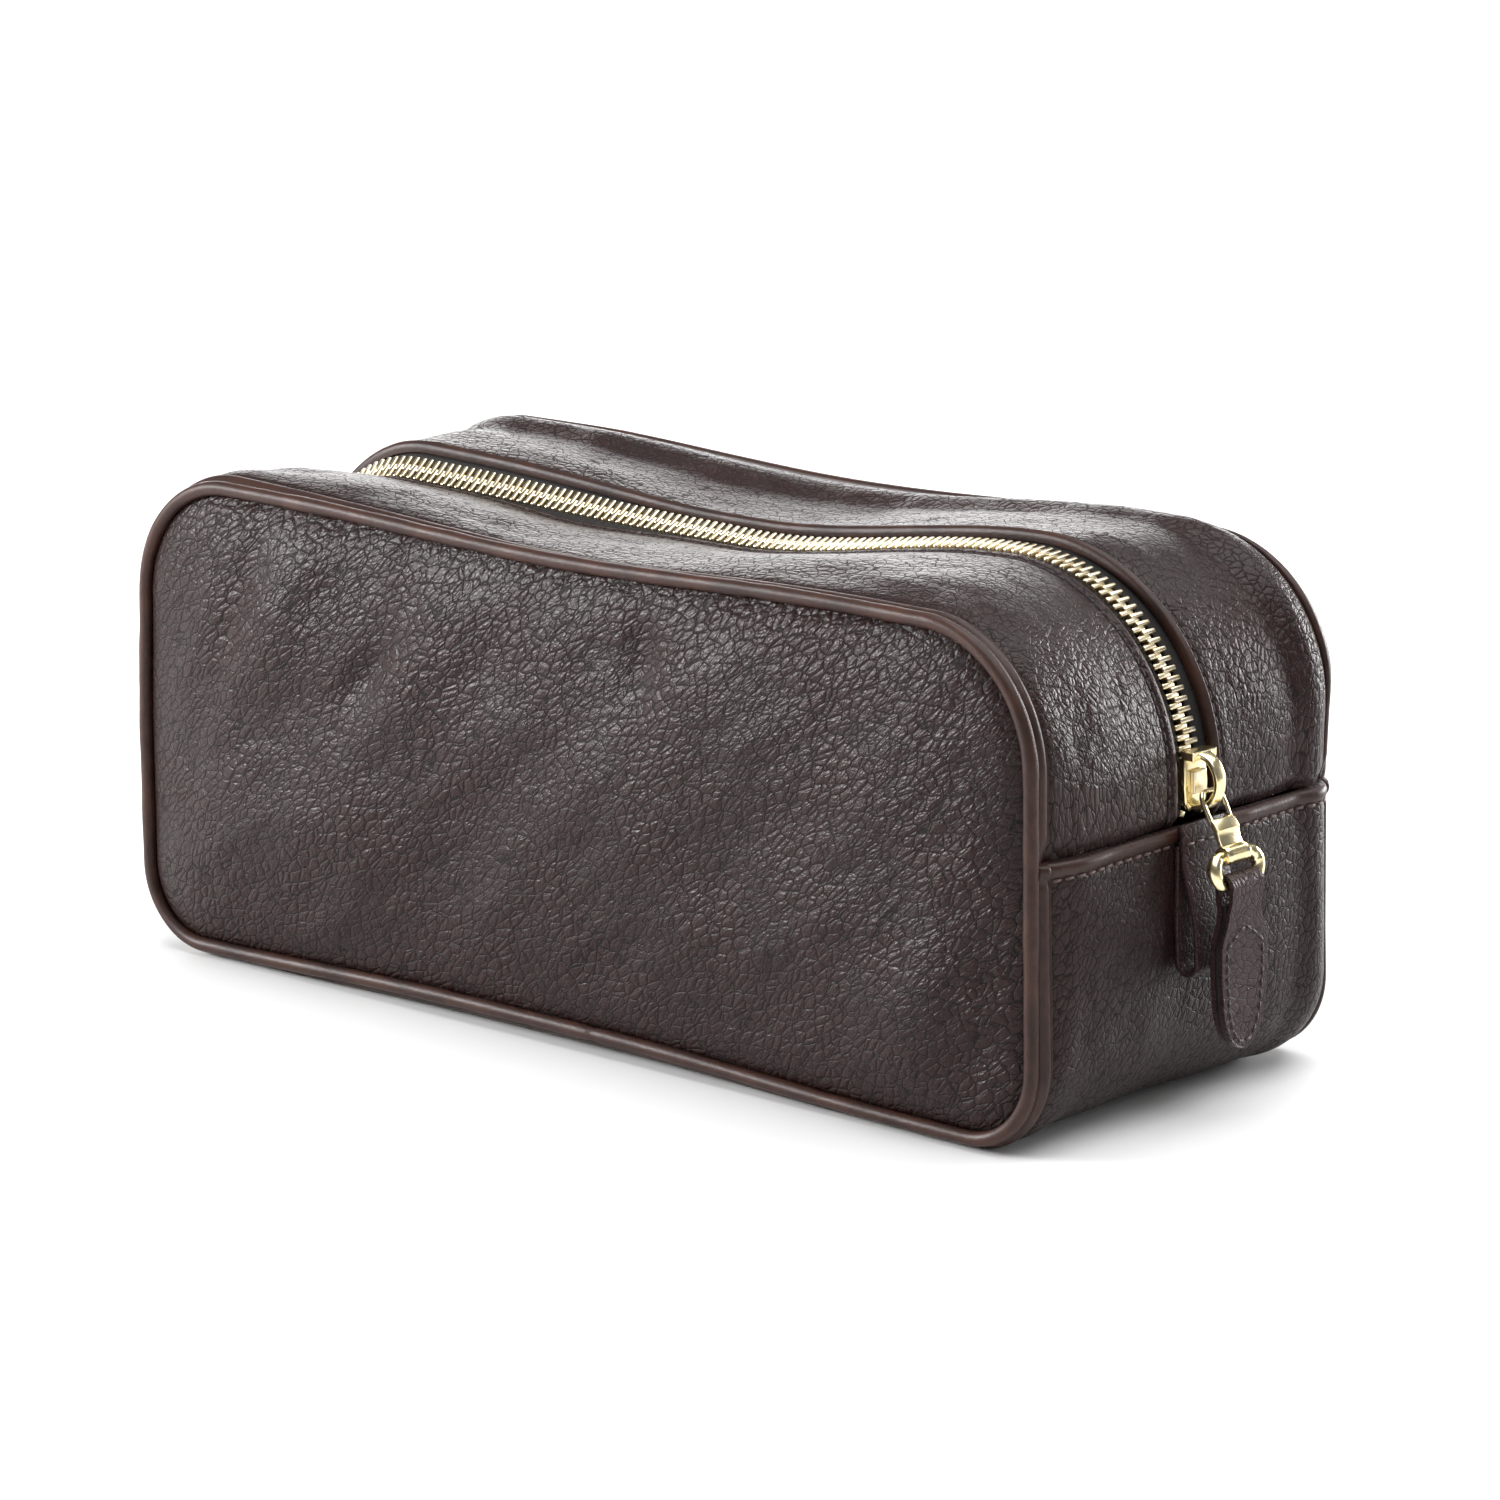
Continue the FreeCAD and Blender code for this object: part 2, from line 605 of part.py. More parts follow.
def zip_stops():
    """The pair of top stops beside the slider and the one bottom stop at the left end."""
    centre, radius = corner_round(1, 0.0)
    tape_x = centre.x + radius - size("tape_drop")
    slot = size("tape_thickness") + 2 * size("contact_gap")
    stops = []
    for side in (-1, 1):
        low_y = 2.1 if side > 0 else -3.4
        block = Part.makeBox(2.2, 1.3, 2.6, V(tape_x - 1.1, low_y, 70.4))
        jaw_y = size("tape_inner") - 0.1 if side > 0 else -4.0
        jaws = Part.makeBox(slot, 4.0 - size("tape_inner") + 0.1, 4.0, V(tape_x - slot / 2, jaw_y, 69.7))
        stops.append(block.cut(jaws))
    new_feature("zip_top_stops", Part.makeCompound(stops))
    block = Part.makeBox(2.8, 6.6, 2.4, V(-tape_x - 1.4, -3.3, 69.0))
    for low_y in (-4.0, size("tape_inner") - 0.1):
        depth = 4.0 - size("tape_inner") + 0.1
        block = block.cut(Part.makeBox(slot, depth, 4.0, V(-tape_x - slot / 2, low_y, 68.0)))
    new_feature("zip_bottom_stop", block)


# --------------------------------------------------------------------------- slider


def slider_section(body, name, low, high, rules):
    """A rectangle across the slider, in the plane through the corner's centre.

    low and high are (distance from the corner centre, sideways) corners; rules are the
    four expressions that set them.
    """
    sketch = new_sketch(body, name, "XY_Plane", "Sizes.zip_top_right - Sizes.zip_corner_right")
    middle = size("gusset_half_length") - size("zip_corner_right")
    left, right = middle + low[0], middle + high[0]
    line(sketch, (left, low[1]), (right, low[1]))
    line(sketch, (right, low[1]), (right, high[1]))
    line(sketch, (right, high[1]), (left, high[1]))
    line(sketch, (left, high[1]), (left, low[1]))
    for edge in range(4):
        sketch.addConstraint(Sketcher.Constraint("Coincident", edge, 2, (edge + 1) % 4, 1))
    for edge in (0, 2):
        sketch.addConstraint(Sketcher.Constraint("Horizontal", edge))
    for edge in (1, 3):
        sketch.addConstraint(Sketcher.Constraint("Vertical", edge))
    base = "Sizes.gusset_half_length - Sizes.zip_corner_right"
    bind(sketch, "DistanceX", -1, 1, 0, 1, left, f"{base} + {rules[0]}")
    bind(sketch, "DistanceX", -1, 1, 0, 2, right, f"{base} + {rules[1]}")
    for point, value, rule in ((1, low[1], rules[2]), (2, high[1], rules[3])):
        if value > 0:
            bind(sketch, "DistanceY", -1, 1, 1, point, value, rule)
        else:
            bind(sketch, "DistanceY", 1, point, -1, 1, -value, rule)
    return sketch


def slider_body():
    """Two curved plates joined by a wedge, with flanges that guide the tapes."""
    body = new_body("slider_body")
    tape = size("zip_corner_right") - size("tape_drop")
    tape_rule = "Sizes.zip_corner_right - Sizes.tape_drop"
    channel, plate = size("slider_channel"), size("slider_plate")
    slot, wall = size("slider_slot"), size("slider_wall")
    half = size("slider_half_width")
    outer = tape + channel + plate
    inner = tape - channel - plate
    outer_rule = f"{tape_rule} + Sizes.slider_channel + Sizes.slider_plate"
    inner_rule = f"{tape_rule} - Sizes.slider_channel - Sizes.slider_plate"
    block = slider_section(
        body, "slider_block", (inner, -half), (outer, half),
        (inner_rule, outer_rule, "Sizes.slider_half_width", "Sizes.slider_half_width"),
    )
    spin(body, block, "slider_whole", "PartDesign::Revolution", "slider_low", "slider_high")
    hollow = slider_section(
        body, "slider_hollow", (tape - channel, -half + wall), (tape + channel, half - wall),
        (
            f"{tape_rule} - Sizes.slider_channel",
            f"{tape_rule} + Sizes.slider_channel",
            "Sizes.slider_half_width - Sizes.slider_wall",
            "Sizes.slider_half_width - Sizes.slider_wall",
        ),
    )
    spin(body, hollow, "slider_channel_cut", "PartDesign::Groove", "slider_low", "slider_high")
    slots = slider_section(
        body, "slider_slots", (tape - slot, -half - 1), (tape + slot, half + 1),
        (
            f"{tape_rule} - Sizes.slider_slot",
            f"{tape_rule} + Sizes.slider_slot",
            "Sizes.slider_half_width + 1",
            "Sizes.slider_half_width + 1",
        ),
    )
    spin(body, slots, "slider_slot_cut", "PartDesign::Groove", "slider_low", "slider_high")
    slider_wedge(body)


def spin(body, sketch, name, kind, low_alias, high_alias):
    """Turn a section about the corner's axis between the slider's two ends."""
    axis = sketch_axis(body, f"{name}_axis")
    feature = body.newObject(kind, name)
    feature.Profile = sketch
    feature.ReferenceAxis = (axis, ["Edge1"])
    feature.Type = "TwoAngles"
    feature.setExpression("Angle", f"Sizes.{low_alias}")
    feature.setExpression("Angle2", f"Sizes.{high_alias}")
    return feature


def sketch_axis(body, name):
    """A line along Y through the centre of the right zip corner."""
    sketch = new_sketch(body, name, "XY_Plane", "Sizes.zip_top_right - Sizes.zip_corner_right")
    middle = size("gusset_half_length") - size("zip_corner_right")
    line(sketch, (middle, -10), (middle, 10))
    sketch.addConstraint(Sketcher.Constraint("Vertical", 0))
    bind(sketch, "DistanceX", -1, 1, 0, 1, middle, "Sizes.gusset_half_length - Sizes.zip_corner_right")
    return sketch


def slider_wedge(body):
    """The diamond post that joins the slider's plates and parts the teeth."""
    plate_rule = "Sizes.gusset_half_length - Sizes.tape_drop - Sizes.slider_channel - 0.5"
    sketch = new_sketch(body, "slider_wedge_outline", "YZ_Plane", plate_rule)
    low, wide, high, reach = 69.9, 72.4, 74.9, 1.2
    points = [(0.0, low), (reach, wide), (0.0, high), (-reach, wide)]
    for start, end in zip(points, points[1:] + points[:1]):
        line(sketch, start, end)
    for edge in range(4):
        sketch.addConstraint(Sketcher.Constraint("Coincident", edge, 2, (edge + 1) % 4, 1))
        sketch.addConstraint(Sketcher.Constraint("Block", edge))
    post = body.newObject("PartDesign::Pad", "slider_wedge")
    post.Profile = sketch
    post.setExpression("Length", "2 * Sizes.slider_channel + 1.0")


def slider_bridge():
    """The arch on the slider that holds the pull link, with the cap at its upper end."""
    body = new_body("slider_bridge")
    sketch = new_sketch(body, "slider_bridge_side", "XZ_Plane")
    outer = [(139.2, 82.2), (141.8, 82.2), (145.0, 80.0), (146.6, 76.6), (146.3, 73.6), (143.6, 70.2), (139.0, 69.2)]
    inner = [(139.0, 70.5), (142.7, 71.3), (145.2, 73.9), (145.5, 76.4), (144.1, 79.2), (141.4, 80.8), (139.2, 80.8)]
    outline = outer + inner
    for start, end in zip(outline, outline[1:] + outline[:1]):
        line(sketch, start, end)
    count = len(outline)
    for edge in range(count):
        sketch.addConstraint(Sketcher.Constraint("Coincident", edge, 2, (edge + 1) % count, 1))
    for edge in range(count):
        sketch.addConstraint(Sketcher.Constraint("Block", edge))
    pad_both_ways(body, sketch, "slider_bridge_arch", "Sizes.bridge_width")
    cap = new_sketch(body, "slider_cap_side", "XZ_Plane")
    corners = [(139.0, 80.4), (141.6, 80.4), (142.0, 82.4), (138.6, 82.4)]
    for start, end in zip(corners, corners[1:] + corners[:1]):
        line(cap, start, end)
    for edge in range(4):
        cap.addConstraint(Sketcher.Constraint("Coincident", edge, 2, (edge + 1) % 4, 1))
        cap.addConstraint(Sketcher.Constraint("Block", edge))
    pad_both_ways(body, cap, "slider_cap", "2 * Sizes.slider_half_width")


# --------------------------------------------------------------- link, ring and pull


def link_end():
    """Middle of the link's barrel."""
    tilt = math.radians(size("link_tilt"))
    reach = size("link_length")
    return V(
        size("pivot_out") + reach * math.sin(tilt),
        0,
        size("pivot_height") - reach * math.cos(tilt),
    )


def frame_sketch(body, name, low, high, half, rules):
    """A rectangle in the body's YZ plane, the same each side of the middle."""
    sketch = new_sketch(body, name, "YZ_Plane")
    line(sketch, (-half, low), (half, low))
    line(sketch, (half, low), (half, high))
    line(sketch, (half, high), (-half, high))
    line(sketch, (-half, high), (-half, low))
    for edge in range(4):
        sketch.addConstraint(Sketcher.Constraint("Coincident", edge, 2, (edge + 1) % 4, 1))
    for edge in (0, 2):
        sketch.addConstraint(Sketcher.Constraint("Horizontal", edge))
    for edge in (1, 3):
        sketch.addConstraint(Sketcher.Constraint("Vertical", edge))
    low_rule, high_rule, half_rule = rules
    bind(sketch, "DistanceX", 0, 1, -1, 1, half, half_rule)
    bind(sketch, "DistanceX", -1, 1, 0, 2, half, half_rule)
    bind(sketch, "DistanceY", 0, 1, -1, 1, -low, low_rule)
    if high > 0:
        bind(sketch, "DistanceY", -1, 1, 2, 1, high, high_rule)
    else:
        bind(sketch, "DistanceY", 2, 1, -1, 1, -high, high_rule)
    return sketch


def drilled_rod(body, name, height, height_rule, radius, radius_rule, length, kind):
    """A round bar or a bore along Y at a height in the body's own frame."""
    sketch = new_sketch(body, f"{name}_circle", "XZ_Plane")
    sketch.addGeometry(Part.Circle(V(0, height, 0), V(0, 0, 1), radius), False)
    bind(sketch, "Radius", 0, radius, radius_rule)
    sketch.addConstraint(Sketcher.Constraint("PointOnObject", 0, 3, -2))
    if height < 0:
        bind(sketch, "DistanceY", 0, 3, -1, 1, -height, height_rule)
    else:
        sketch.addConstraint(Sketcher.Constraint("PointOnObject", 0, 3, -1))
    feature = body.newObject(kind, name)
    feature.Profile = sketch
    feature.SideType = "Symmetric"
    feature.setExpression("Length", length)


def pull_link():
    """The plate that hangs from the bridge and ends in a barrel round the ring's bar."""
    body = new_body("pull_link")
    reach = size("link_length")
    half = size("link_half_width")
    plate = frame_sketch(
        body, "link_outline", -reach, 0.6, half,
        ("Sizes.link_length", "0.6", "Sizes.link_half_width"),
    )
    pad_both_ways(body, plate, "link_plate", "Sizes.link_thickness")
    window = frame_sketch(
        body, "link_window", -4.9, -0.6, half - 1.2,
        ("4.9", "0.6", "Sizes.link_half_width - 1.2"),
    )
    cut_both_ways(body, window, "link_opening", "4 * Sizes.link_thickness")
    barrel = (-reach, "Sizes.link_length")
    drilled_rod(
        body, "link_barrel", *barrel, size("barrel_radius"), "Sizes.barrel_radius",
        "2 * Sizes.link_half_width", "PartDesign::Pad",
    )
    bore = size("ring_wire") + size("running_gap")
    drilled_rod(
        body, "link_bore", *barrel, bore, "Sizes.ring_wire + Sizes.running_gap",
        "4 * Sizes.link_half_width", "PartDesign::Pocket",
    )
    pivot = V(size("pivot_out"), 0, size("pivot_height"))
    turn = FreeCAD.Rotation(AXIS_Y, -size("link_tilt"))
    body.Placement = FreeCAD.Placement(pivot, turn)


def pull_ring():
    """The flat oval ring; its upper bar turns in the barrel, its lower bar in the strap."""
    body = new_body("pull_ring")
    path = new_sketch(body, "ring_path", "YZ_Plane")
    half, drop = size("ring_half_width"), size("ring_drop")
    upper, lower = size("ring_upper_bend"), size("ring_lower_bend")
    line(path, (0, 0), (half - upper, 0))
    arc(path, (half - upper, -upper), upper, 0, 90)
    line(path, (half, -upper), (half, lower - drop))
    arc(path, (half - lower, lower - drop), lower, -90, 0)
    line(path, (half - lower, -drop), (lower - half, -drop))
    arc(path, (lower - half, lower - drop), lower, 180, 270)
    line(path, (-half, lower - drop), (-half, -upper))
    arc(path, (upper - half, -upper), upper, 90, 180)
    line(path, (upper - half, 0), (0, 0))
    path.addConstraint(Sketcher.Constraint("Coincident", 0, 1, -1, 1))
    path.addConstraint(Sketcher.Constraint("Coincident", 8, 2, -1, 1))
    joints = [(0, 2, 1, 2), (1, 1, 2, 1), (2, 2, 3, 2), (3, 1, 4, 1)]
    joints += [(4, 2, 5, 2), (5, 1, 6, 1), (6, 2, 7, 2), (7, 1, 8, 1)]
    for joint in joints:
        path.addConstraint(Sketcher.Constraint("Tangent", *joint))
    for edge in (0, 4, 8):
        path.addConstraint(Sketcher.Constraint("Horizontal", edge))
    for edge in (2, 6):
        path.addConstraint(Sketcher.Constraint("Vertical", edge))
    path.addConstraint(Sketcher.Constraint("Equal", 1, 7))
    path.addConstraint(Sketcher.Constraint("Equal", 3, 5))
    bind(path, "Radius", 1, upper, "Sizes.ring_upper_bend")
    bind(path, "Radius", 3, lower, "Sizes.ring_lower_bend")
    bind(path, "DistanceX", -1, 1, 2, 1, half, "Sizes.ring_half_width")
    bind(path, "DistanceX", 6, 1, -1, 1, half, "Sizes.ring_half_width")
    bind(path, "DistanceY", 4, 1, -1, 1, drop, "Sizes.ring_drop")
    section = new_sketch(body, "ring_section", "XZ_Plane")
    section.addGeometry(Part.Circle(V(0, 0, 0), V(0, 0, 1), size("ring_wire")), False)
    section.addConstraint(Sketcher.Constraint("Coincident", 0, 3, -1, 1))
    bind(section, "Radius", 0, size("ring_wire"), "Sizes.ring_wire")
    wire = body.newObject("PartDesign::AdditivePipe", "ring_wire_loop")
    wire.Profile = section
    wire.Spine = (path, [f"Edge{number}" for number in range(1, 10)])
    body.Placement = FreeCAD.Placement(link_end(), FreeCAD.Rotation(AXIS_Y, -size("ring_tilt")))


def ring_bar():
    """Middle of the ring's lower bar, which carries the leather pull."""
    tilt = math.radians(size("ring_tilt"))
    drop = size("ring_drop")
    return link_end() + V(drop * math.sin(tilt), 0, -drop * math.cos(tilt))


def leaf_wire(half, neck, top, tip, row):
    """The leaf outline of the pull in a plane X = row, from a neck to a rounded tip."""
    shoulder = top - 7.0
    widest = top - 13.0
    taper = tip + 9.0
    left = [V(row, -neck, top), V(row, -neck, shoulder), V(row, -half, widest), V(row, -half, taper)]
    right = [V(row, -point.y, point.z) for point in left]
    bottom = Part.Arc(left[3], V(row, 0, tip), right[3]).toShape()
    edges = [Part.LineSegment(a, b).toShape() for a, b in zip(left, left[1:])]
    edges.append(bottom)
    edges += [Part.LineSegment(a, b).toShape() for a, b in zip(right[::-1], right[::-1][1:])]
    edges.append(Part.LineSegment(right[0], left[0]).toShape())
    return Part.Wire(edges)


def pull_strap():
    """The folded leather pull: two layers of one strap round the ring, and a filler."""
    bar = ring_bar()
    bore = size("ring_wire") + size("running_gap")
    fold = bore + size("pull_layer")
    thick = size("pull_thickness")
    half = size("strap_width") / 2
    neck = size("neck_width") / 2
    tip = bar.z - size("pull_length")
    wire = leaf_wire(half, neck, bar.z, tip, bar.x - thick / 2)
    leaf = Part.Face(wire).extrude(V(thick, 0, 0))
    loop = Part.makeCylinder(fold, 2 * neck, bar - V(0, neck, 0), AXIS_Y)
    hole = Part.makeCylinder(bore, 2 * neck + 2, bar - V(0, neck + 1, 0), AXIS_Y)
    gap = thick - 2 * size("pull_layer")
    core_top = bar.z - fold - 1.0
    slot_wire = leaf_wire(half + 1, neck + 1, core_top, tip - 1, bar.x - gap / 2)
    slot = Part.Face(slot_wire).extrude(V(gap, 0, 0))
    strap = leaf.fuse(loop).cut(hole).cut(slot).removeSplitter()
    new_feature("pull_strap", strap)
    core_wire = leaf_wire(half - 0.5, neck - 0.5, core_top - 0.5, tip + 0.5, bar.x - gap / 2)
    new_feature("pull_filler", Part.Face(core_wire).extrude(V(gap, 0, 0)))


# ------------------------------------------------------------------------- end tabs


def end_tab(end, name):
    """A strap folded into a narrow loop that hangs from the seam at one end."""
    fold = size("tab_fold")
    leather = size("tab_leather")
    back = size("gusset_half_length") + size("clearance")
    top = size("seam_height") - 0.5
    low = size("seam_height") - size("tab_length") + fold
    width = size("tab_width")

    def loop(radius, neck, head, row):
        """A teardrop section, round at the bottom and narrow at the top."""
        middle = back + fold
        points = [
            V(end * (middle - radius), row, low),
            V(end * (middle - radius), row, head),
            V(end * (middle - radius + neck), row, head),
            V(end * (middle + radius), row, low),
        ]
        bottom = Part.Arc(points[3], V(end * middle, row, low - radius), points[0]).toShape()
        edges = [Part.LineSegment(a, b).toShape() for a, b in zip(points, points[1:])]
        return Part.Face(Part.Wire(edges + [bottom]))

    outside = loop(fold, 2 * leather + 0.3, top, -width / 2).extrude(V(0, width, 0))
    inside = loop(fold - leather, 0.3, top - 3.0, -width).extrude(V(0, 2 * width, 0))
    new_feature(name, outside.cut(inside))


# ----------------------------------------------------------------------- the model

panel("front_panel", -1)
panel("back_panel", 1)
for wall, position in ((-1, "front"), (1, "rear")):
    piping(wall, position)
    flat_layer(
        f"{position}_seam_binding", wall, "Sizes.gusset_depth + Sizes.contact_gap",
        "(Sizes.piping_depth - 0.5)", "Sizes.panel_inset", size("panel_inset"), width=7.0,
    )
    flat_layer(
        f"{position}_lining_panel", wall, "Sizes.gusset_depth - Sizes.lining_sheet",
        "Sizes.gusset_depth", "Sizes.panel_inset + 1.5", size("panel_inset") + 1.5,
    )
bottom_gusset()
gusset_lining()
top_gusset()
teeth()
zip_stops()
slider_body()
slider_bridge()
pull_link()
pull_ring()
pull_strap()
end_tab(1, "right_end_tab")
end_tab(-1, "left_end_tab")
doc.recompute()

problems = []
for item in doc.Objects:
    if "Invalid" in item.State or "Error" in item.State:
        problems.append(f"{item.Name}: {item.State}")
for item in SUBPARTS:
    if item.Shape.isNull() or not item.Shape.isValid() or not item.Shape.Solids:
        problems.append(f"{item.Label}: no valid solid")
if problems:
    raise RuntimeError("; ".join(problems))

os.makedirs("parts", exist_ok=True)
for item in SUBPARTS:
    item.Shape.exportStep(f"parts/{item.Label}.step")
    box = item.Shape.BoundBox
    print(
        f"{item.Label:26s} {len(item.Shape.Solids):3d} solids {item.Shape.Volume:10.1f} mm3 "
        f"x {box.XMin:7.1f} {box.XMax:7.1f} y {box.YMin:6.1f} {box.YMax:6.1f} z {box.ZMin:6.1f} {box.ZMax:6.1f}"
    )
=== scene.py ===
import math

import bmesh
import bpy
import numpy as np
from mathutils import Matrix, Vector


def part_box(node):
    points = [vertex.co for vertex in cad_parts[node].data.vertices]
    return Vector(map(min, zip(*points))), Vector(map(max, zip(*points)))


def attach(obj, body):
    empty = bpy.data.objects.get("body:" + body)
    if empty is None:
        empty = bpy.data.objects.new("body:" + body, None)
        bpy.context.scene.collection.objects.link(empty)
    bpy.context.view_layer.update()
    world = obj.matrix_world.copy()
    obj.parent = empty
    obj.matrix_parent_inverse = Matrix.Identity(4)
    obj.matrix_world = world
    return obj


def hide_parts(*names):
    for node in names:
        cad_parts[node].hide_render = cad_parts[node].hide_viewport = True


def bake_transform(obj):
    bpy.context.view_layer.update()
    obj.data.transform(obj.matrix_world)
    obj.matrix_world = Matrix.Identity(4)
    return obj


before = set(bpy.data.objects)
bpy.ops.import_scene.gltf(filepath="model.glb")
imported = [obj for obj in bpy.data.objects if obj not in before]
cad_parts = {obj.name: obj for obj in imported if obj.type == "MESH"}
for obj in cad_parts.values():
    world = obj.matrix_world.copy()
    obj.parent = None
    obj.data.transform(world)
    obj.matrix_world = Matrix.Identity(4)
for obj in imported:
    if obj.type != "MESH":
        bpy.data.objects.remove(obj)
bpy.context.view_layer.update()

# The looks of a leather shaving kit bag. Shapes are worked out in millimetres and
# turned into metres when a mesh is made. +X is the end with the slider, -Y the front.

MM = 0.001


def cad_box(node):
    """A CAD node's lowest and highest corner in millimetres."""
    low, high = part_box(node)
    return np.array(low) / MM, np.array(high) / MM


# ------------------------------------------------------------ sizes read off the frame

pipe_low, pipe_high = cad_box("front_piping")
PIPE_RADIUS = (pipe_high[1] - pipe_low[1]) / 2
PIPE_DEPTH = -(pipe_high[1] + pipe_low[1]) / 2
PIPE_HALF = pipe_high[0] - PIPE_RADIUS
PIPE_BOTTOM = pipe_low[2] + PIPE_RADIUS
PIPE_TOP = pipe_high[2] - PIPE_RADIUS
gusset_high = cad_box("bottom_gusset")[1]
GUSSET_HALF = gusset_high[0]
GUSSET_DEPTH = gusset_high[1]
SEAM = gusset_high[2]
corner_high = cad_box("front_right_top_gusset")[1]
ZIP_TOP_RIGHT = corner_high[2]
ZIP_EDGE = -corner_high[1]
strap_low = cad_box("pull_strap")[0]
tab_low, tab_high = cad_box("right_end_tab")

LEATHER, LINING = 1.5, 0.5  # thickness of the bag leather and of the lining
LINING_DROP = 3.2  # leather surface down to the middle of the lining
SAG_START, SAG_END = 92.0, 8.0  # where the top starts and stops sagging
CORNER_RIGHT, CORNER_LEFT, CORNER_LOW = 47.0, 38.0, 26.0  # radii in the middle of the gussets
PIPE_CORNERS = (30.0, 29.0, 18.0)  # radii of the piping: upper right, upper left, lower
STRIP_EDGE = GUSSET_DEPTH + 0.8  # outer edge of the gussets, tucked behind the piping
TAPE_DROP = 1.9  # leather surface down to the middle of the zip tape
ZIP_TOP = 111.8  # leather beside the zip where the top has sagged most
ZIP_TOP_LEFT = 113.6  # the same at the left corner


# ----------------------------------------------------------------------- number helpers


def smooth(value):
    """A smooth step from 0 to 1."""
    value = np.clip(value, 0.0, 1.0)
    return value * value * (3 - 2 * value)


def mix(start, end, share):
    """The value a share of the way from start to end."""
    return start + (end - start) * share


def value_noise(across, up, seed):
    """A smooth random field between -1 and 1 with cells one unit wide."""
    cells = 64
    table = np.random.default_rng(seed).uniform(-1, 1, (cells, cells))
    column, row = np.floor(across).astype(int), np.floor(up).astype(int)
    right, above = smooth(across - column), smooth(up - row)
    near = mix(table[column % cells, row % cells], table[(column + 1) % cells, row % cells], right)
    row = row + 1
    far = mix(table[column % cells, row % cells], table[(column + 1) % cells, row % cells], right)
    return mix(near, far, above)


def ridge(across, up, middle, angle, length, width):
    """A long soft fold, 1 at its middle, in a plane."""
    turn = math.radians(angle)
    along = (across - middle[0]) * math.cos(turn) + (up - middle[1]) * math.sin(turn)
    aside = (up - middle[1]) * math.cos(turn) - (across - middle[0]) * math.sin(turn)
    return np.exp(-((along / length) ** 2) - (aside / width) ** 2)


def unit(vectors):
    """Vectors scaled to length 1."""
    return vectors / np.maximum(np.linalg.norm(vectors, axis=-1, keepdims=True), 1e-9)


# ------------------------------------------------------------------------- mesh helpers


def grid_faces(rows, columns, close_rows=False, close_columns=False, first=0):
    """Quads over a grid of vertices numbered row by row."""
    faces = []
    for row in range(rows if close_rows else rows - 1):
        upper = (row + 1) % rows
        for column in range(columns if close_columns else columns - 1):
            beside = (column + 1) % columns
            quad = (row * columns + column, row * columns + beside)
            quad += (upper * columns + beside, upper * columns + column)
            faces.append(tuple(first + index for index in quad))
    return faces


def make_piece(name, points, faces, material, slot=None, uv=None, sharp=40.0, second=None):
    """A mesh object from points in millimetres; uv is in metres, one pair a point.

    second is another material with a flag for each face that has it.
    """
    mesh = bpy.data.meshes.new(name)
    points = np.asarray(points, float).reshape(-1, 3) * MM
    mesh.from_pydata(points.tolist(), [], faces)
    if second:
        mesh.polygons.foreach_set("material_index", np.asarray(second[1], np.int32))
    if uv is None:
        uv = points[:, [0, 2]] + points[:, [1, 1]] * 0.7
    layer = mesh.uv_layers.new(name="sheet")
    corners = np.empty(len(mesh.loops), np.int32)
    mesh.loops.foreach_get("vertex_index", corners)
    layer.data.foreach_set("uv", np.asarray(uv, float)[corners].astype(np.float32).ravel())
    work = bmesh.new()
    work.from_mesh(mesh)
    bmesh.ops.remove_doubles(work, verts=work.verts, dist=1e-6)
    bmesh.ops.recalc_face_normals(work, faces=work.faces)
    work.to_mesh(mesh)
    work.free()
    mesh.shade_smooth()
    mesh.set_sharp_from_angle(angle=math.radians(sharp))
    mesh.materials.append(material)
    if second:
        mesh.materials.append(second[0])
    piece = bpy.data.objects.new(name, mesh)
    bpy.context.scene.collection.objects.link(piece)
    return piece


def rigid_piece(name, node, points, faces, material, slot, body="bag_body", **looks):
    """A piece that moves with one body and takes the place of one of its nodes."""
    piece = make_piece(name, points, faces, material, slot, **looks)
    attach(piece, body)
    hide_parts(node)


def swept_faces(rings, closed=False):
    """Faces of a tube through rings of points, with caps where it isn't closed."""
    count, around = rings.shape[:2]
    faces = grid_faces(count, around, close_rows=closed, close_columns=True)
    if not closed:
        faces.append(tuple(range(around))[::-1])
        faces.append(tuple((count - 1) * around + index for index in range(around)))
    return faces


def run_along(path):
    """Distances along a path of points, from its first point."""
    return np.concatenate([[0.0], np.cumsum(np.linalg.norm(np.diff(path, axis=0), axis=1))])


def between(values, run, where):
    """Values given along a run, read at other distances."""
    columns = [np.interp(where, run, values[:, axis]) for axis in range(values.shape[1])]
    return np.stack(columns, axis=1)


def uv_grid(along, across):
    """Sheet coordinates in metres for rows of points along a piece."""
    return np.stack(np.meshgrid(along, across, indexing="ij"), axis=-1).reshape(-1, 2) * MM


def ring_uv(rings, across=None):
    """Lengths along and around a swept tube, in metres."""
    if across is None:
        turns = np.linalg.norm(np.diff(rings, axis=1), axis=2).mean(axis=0)
        across = np.concatenate([[0.0], np.cumsum(turns)])
    return uv_grid(run_along(rings.mean(axis=1)), across)


def copies(pattern, faces, places, axes):
    """Vertices and faces of a pattern repeated at places, each with its own three axes."""
    points = np.einsum("vk,nkc->nvc", pattern, axes) + places[:, None, :]
    shift = np.arange(len(places)) * len(pattern)
    every = [tuple(index + start for index in face) for start in shift.tolist() for face in faces]
    return points.reshape(-1, 3), every


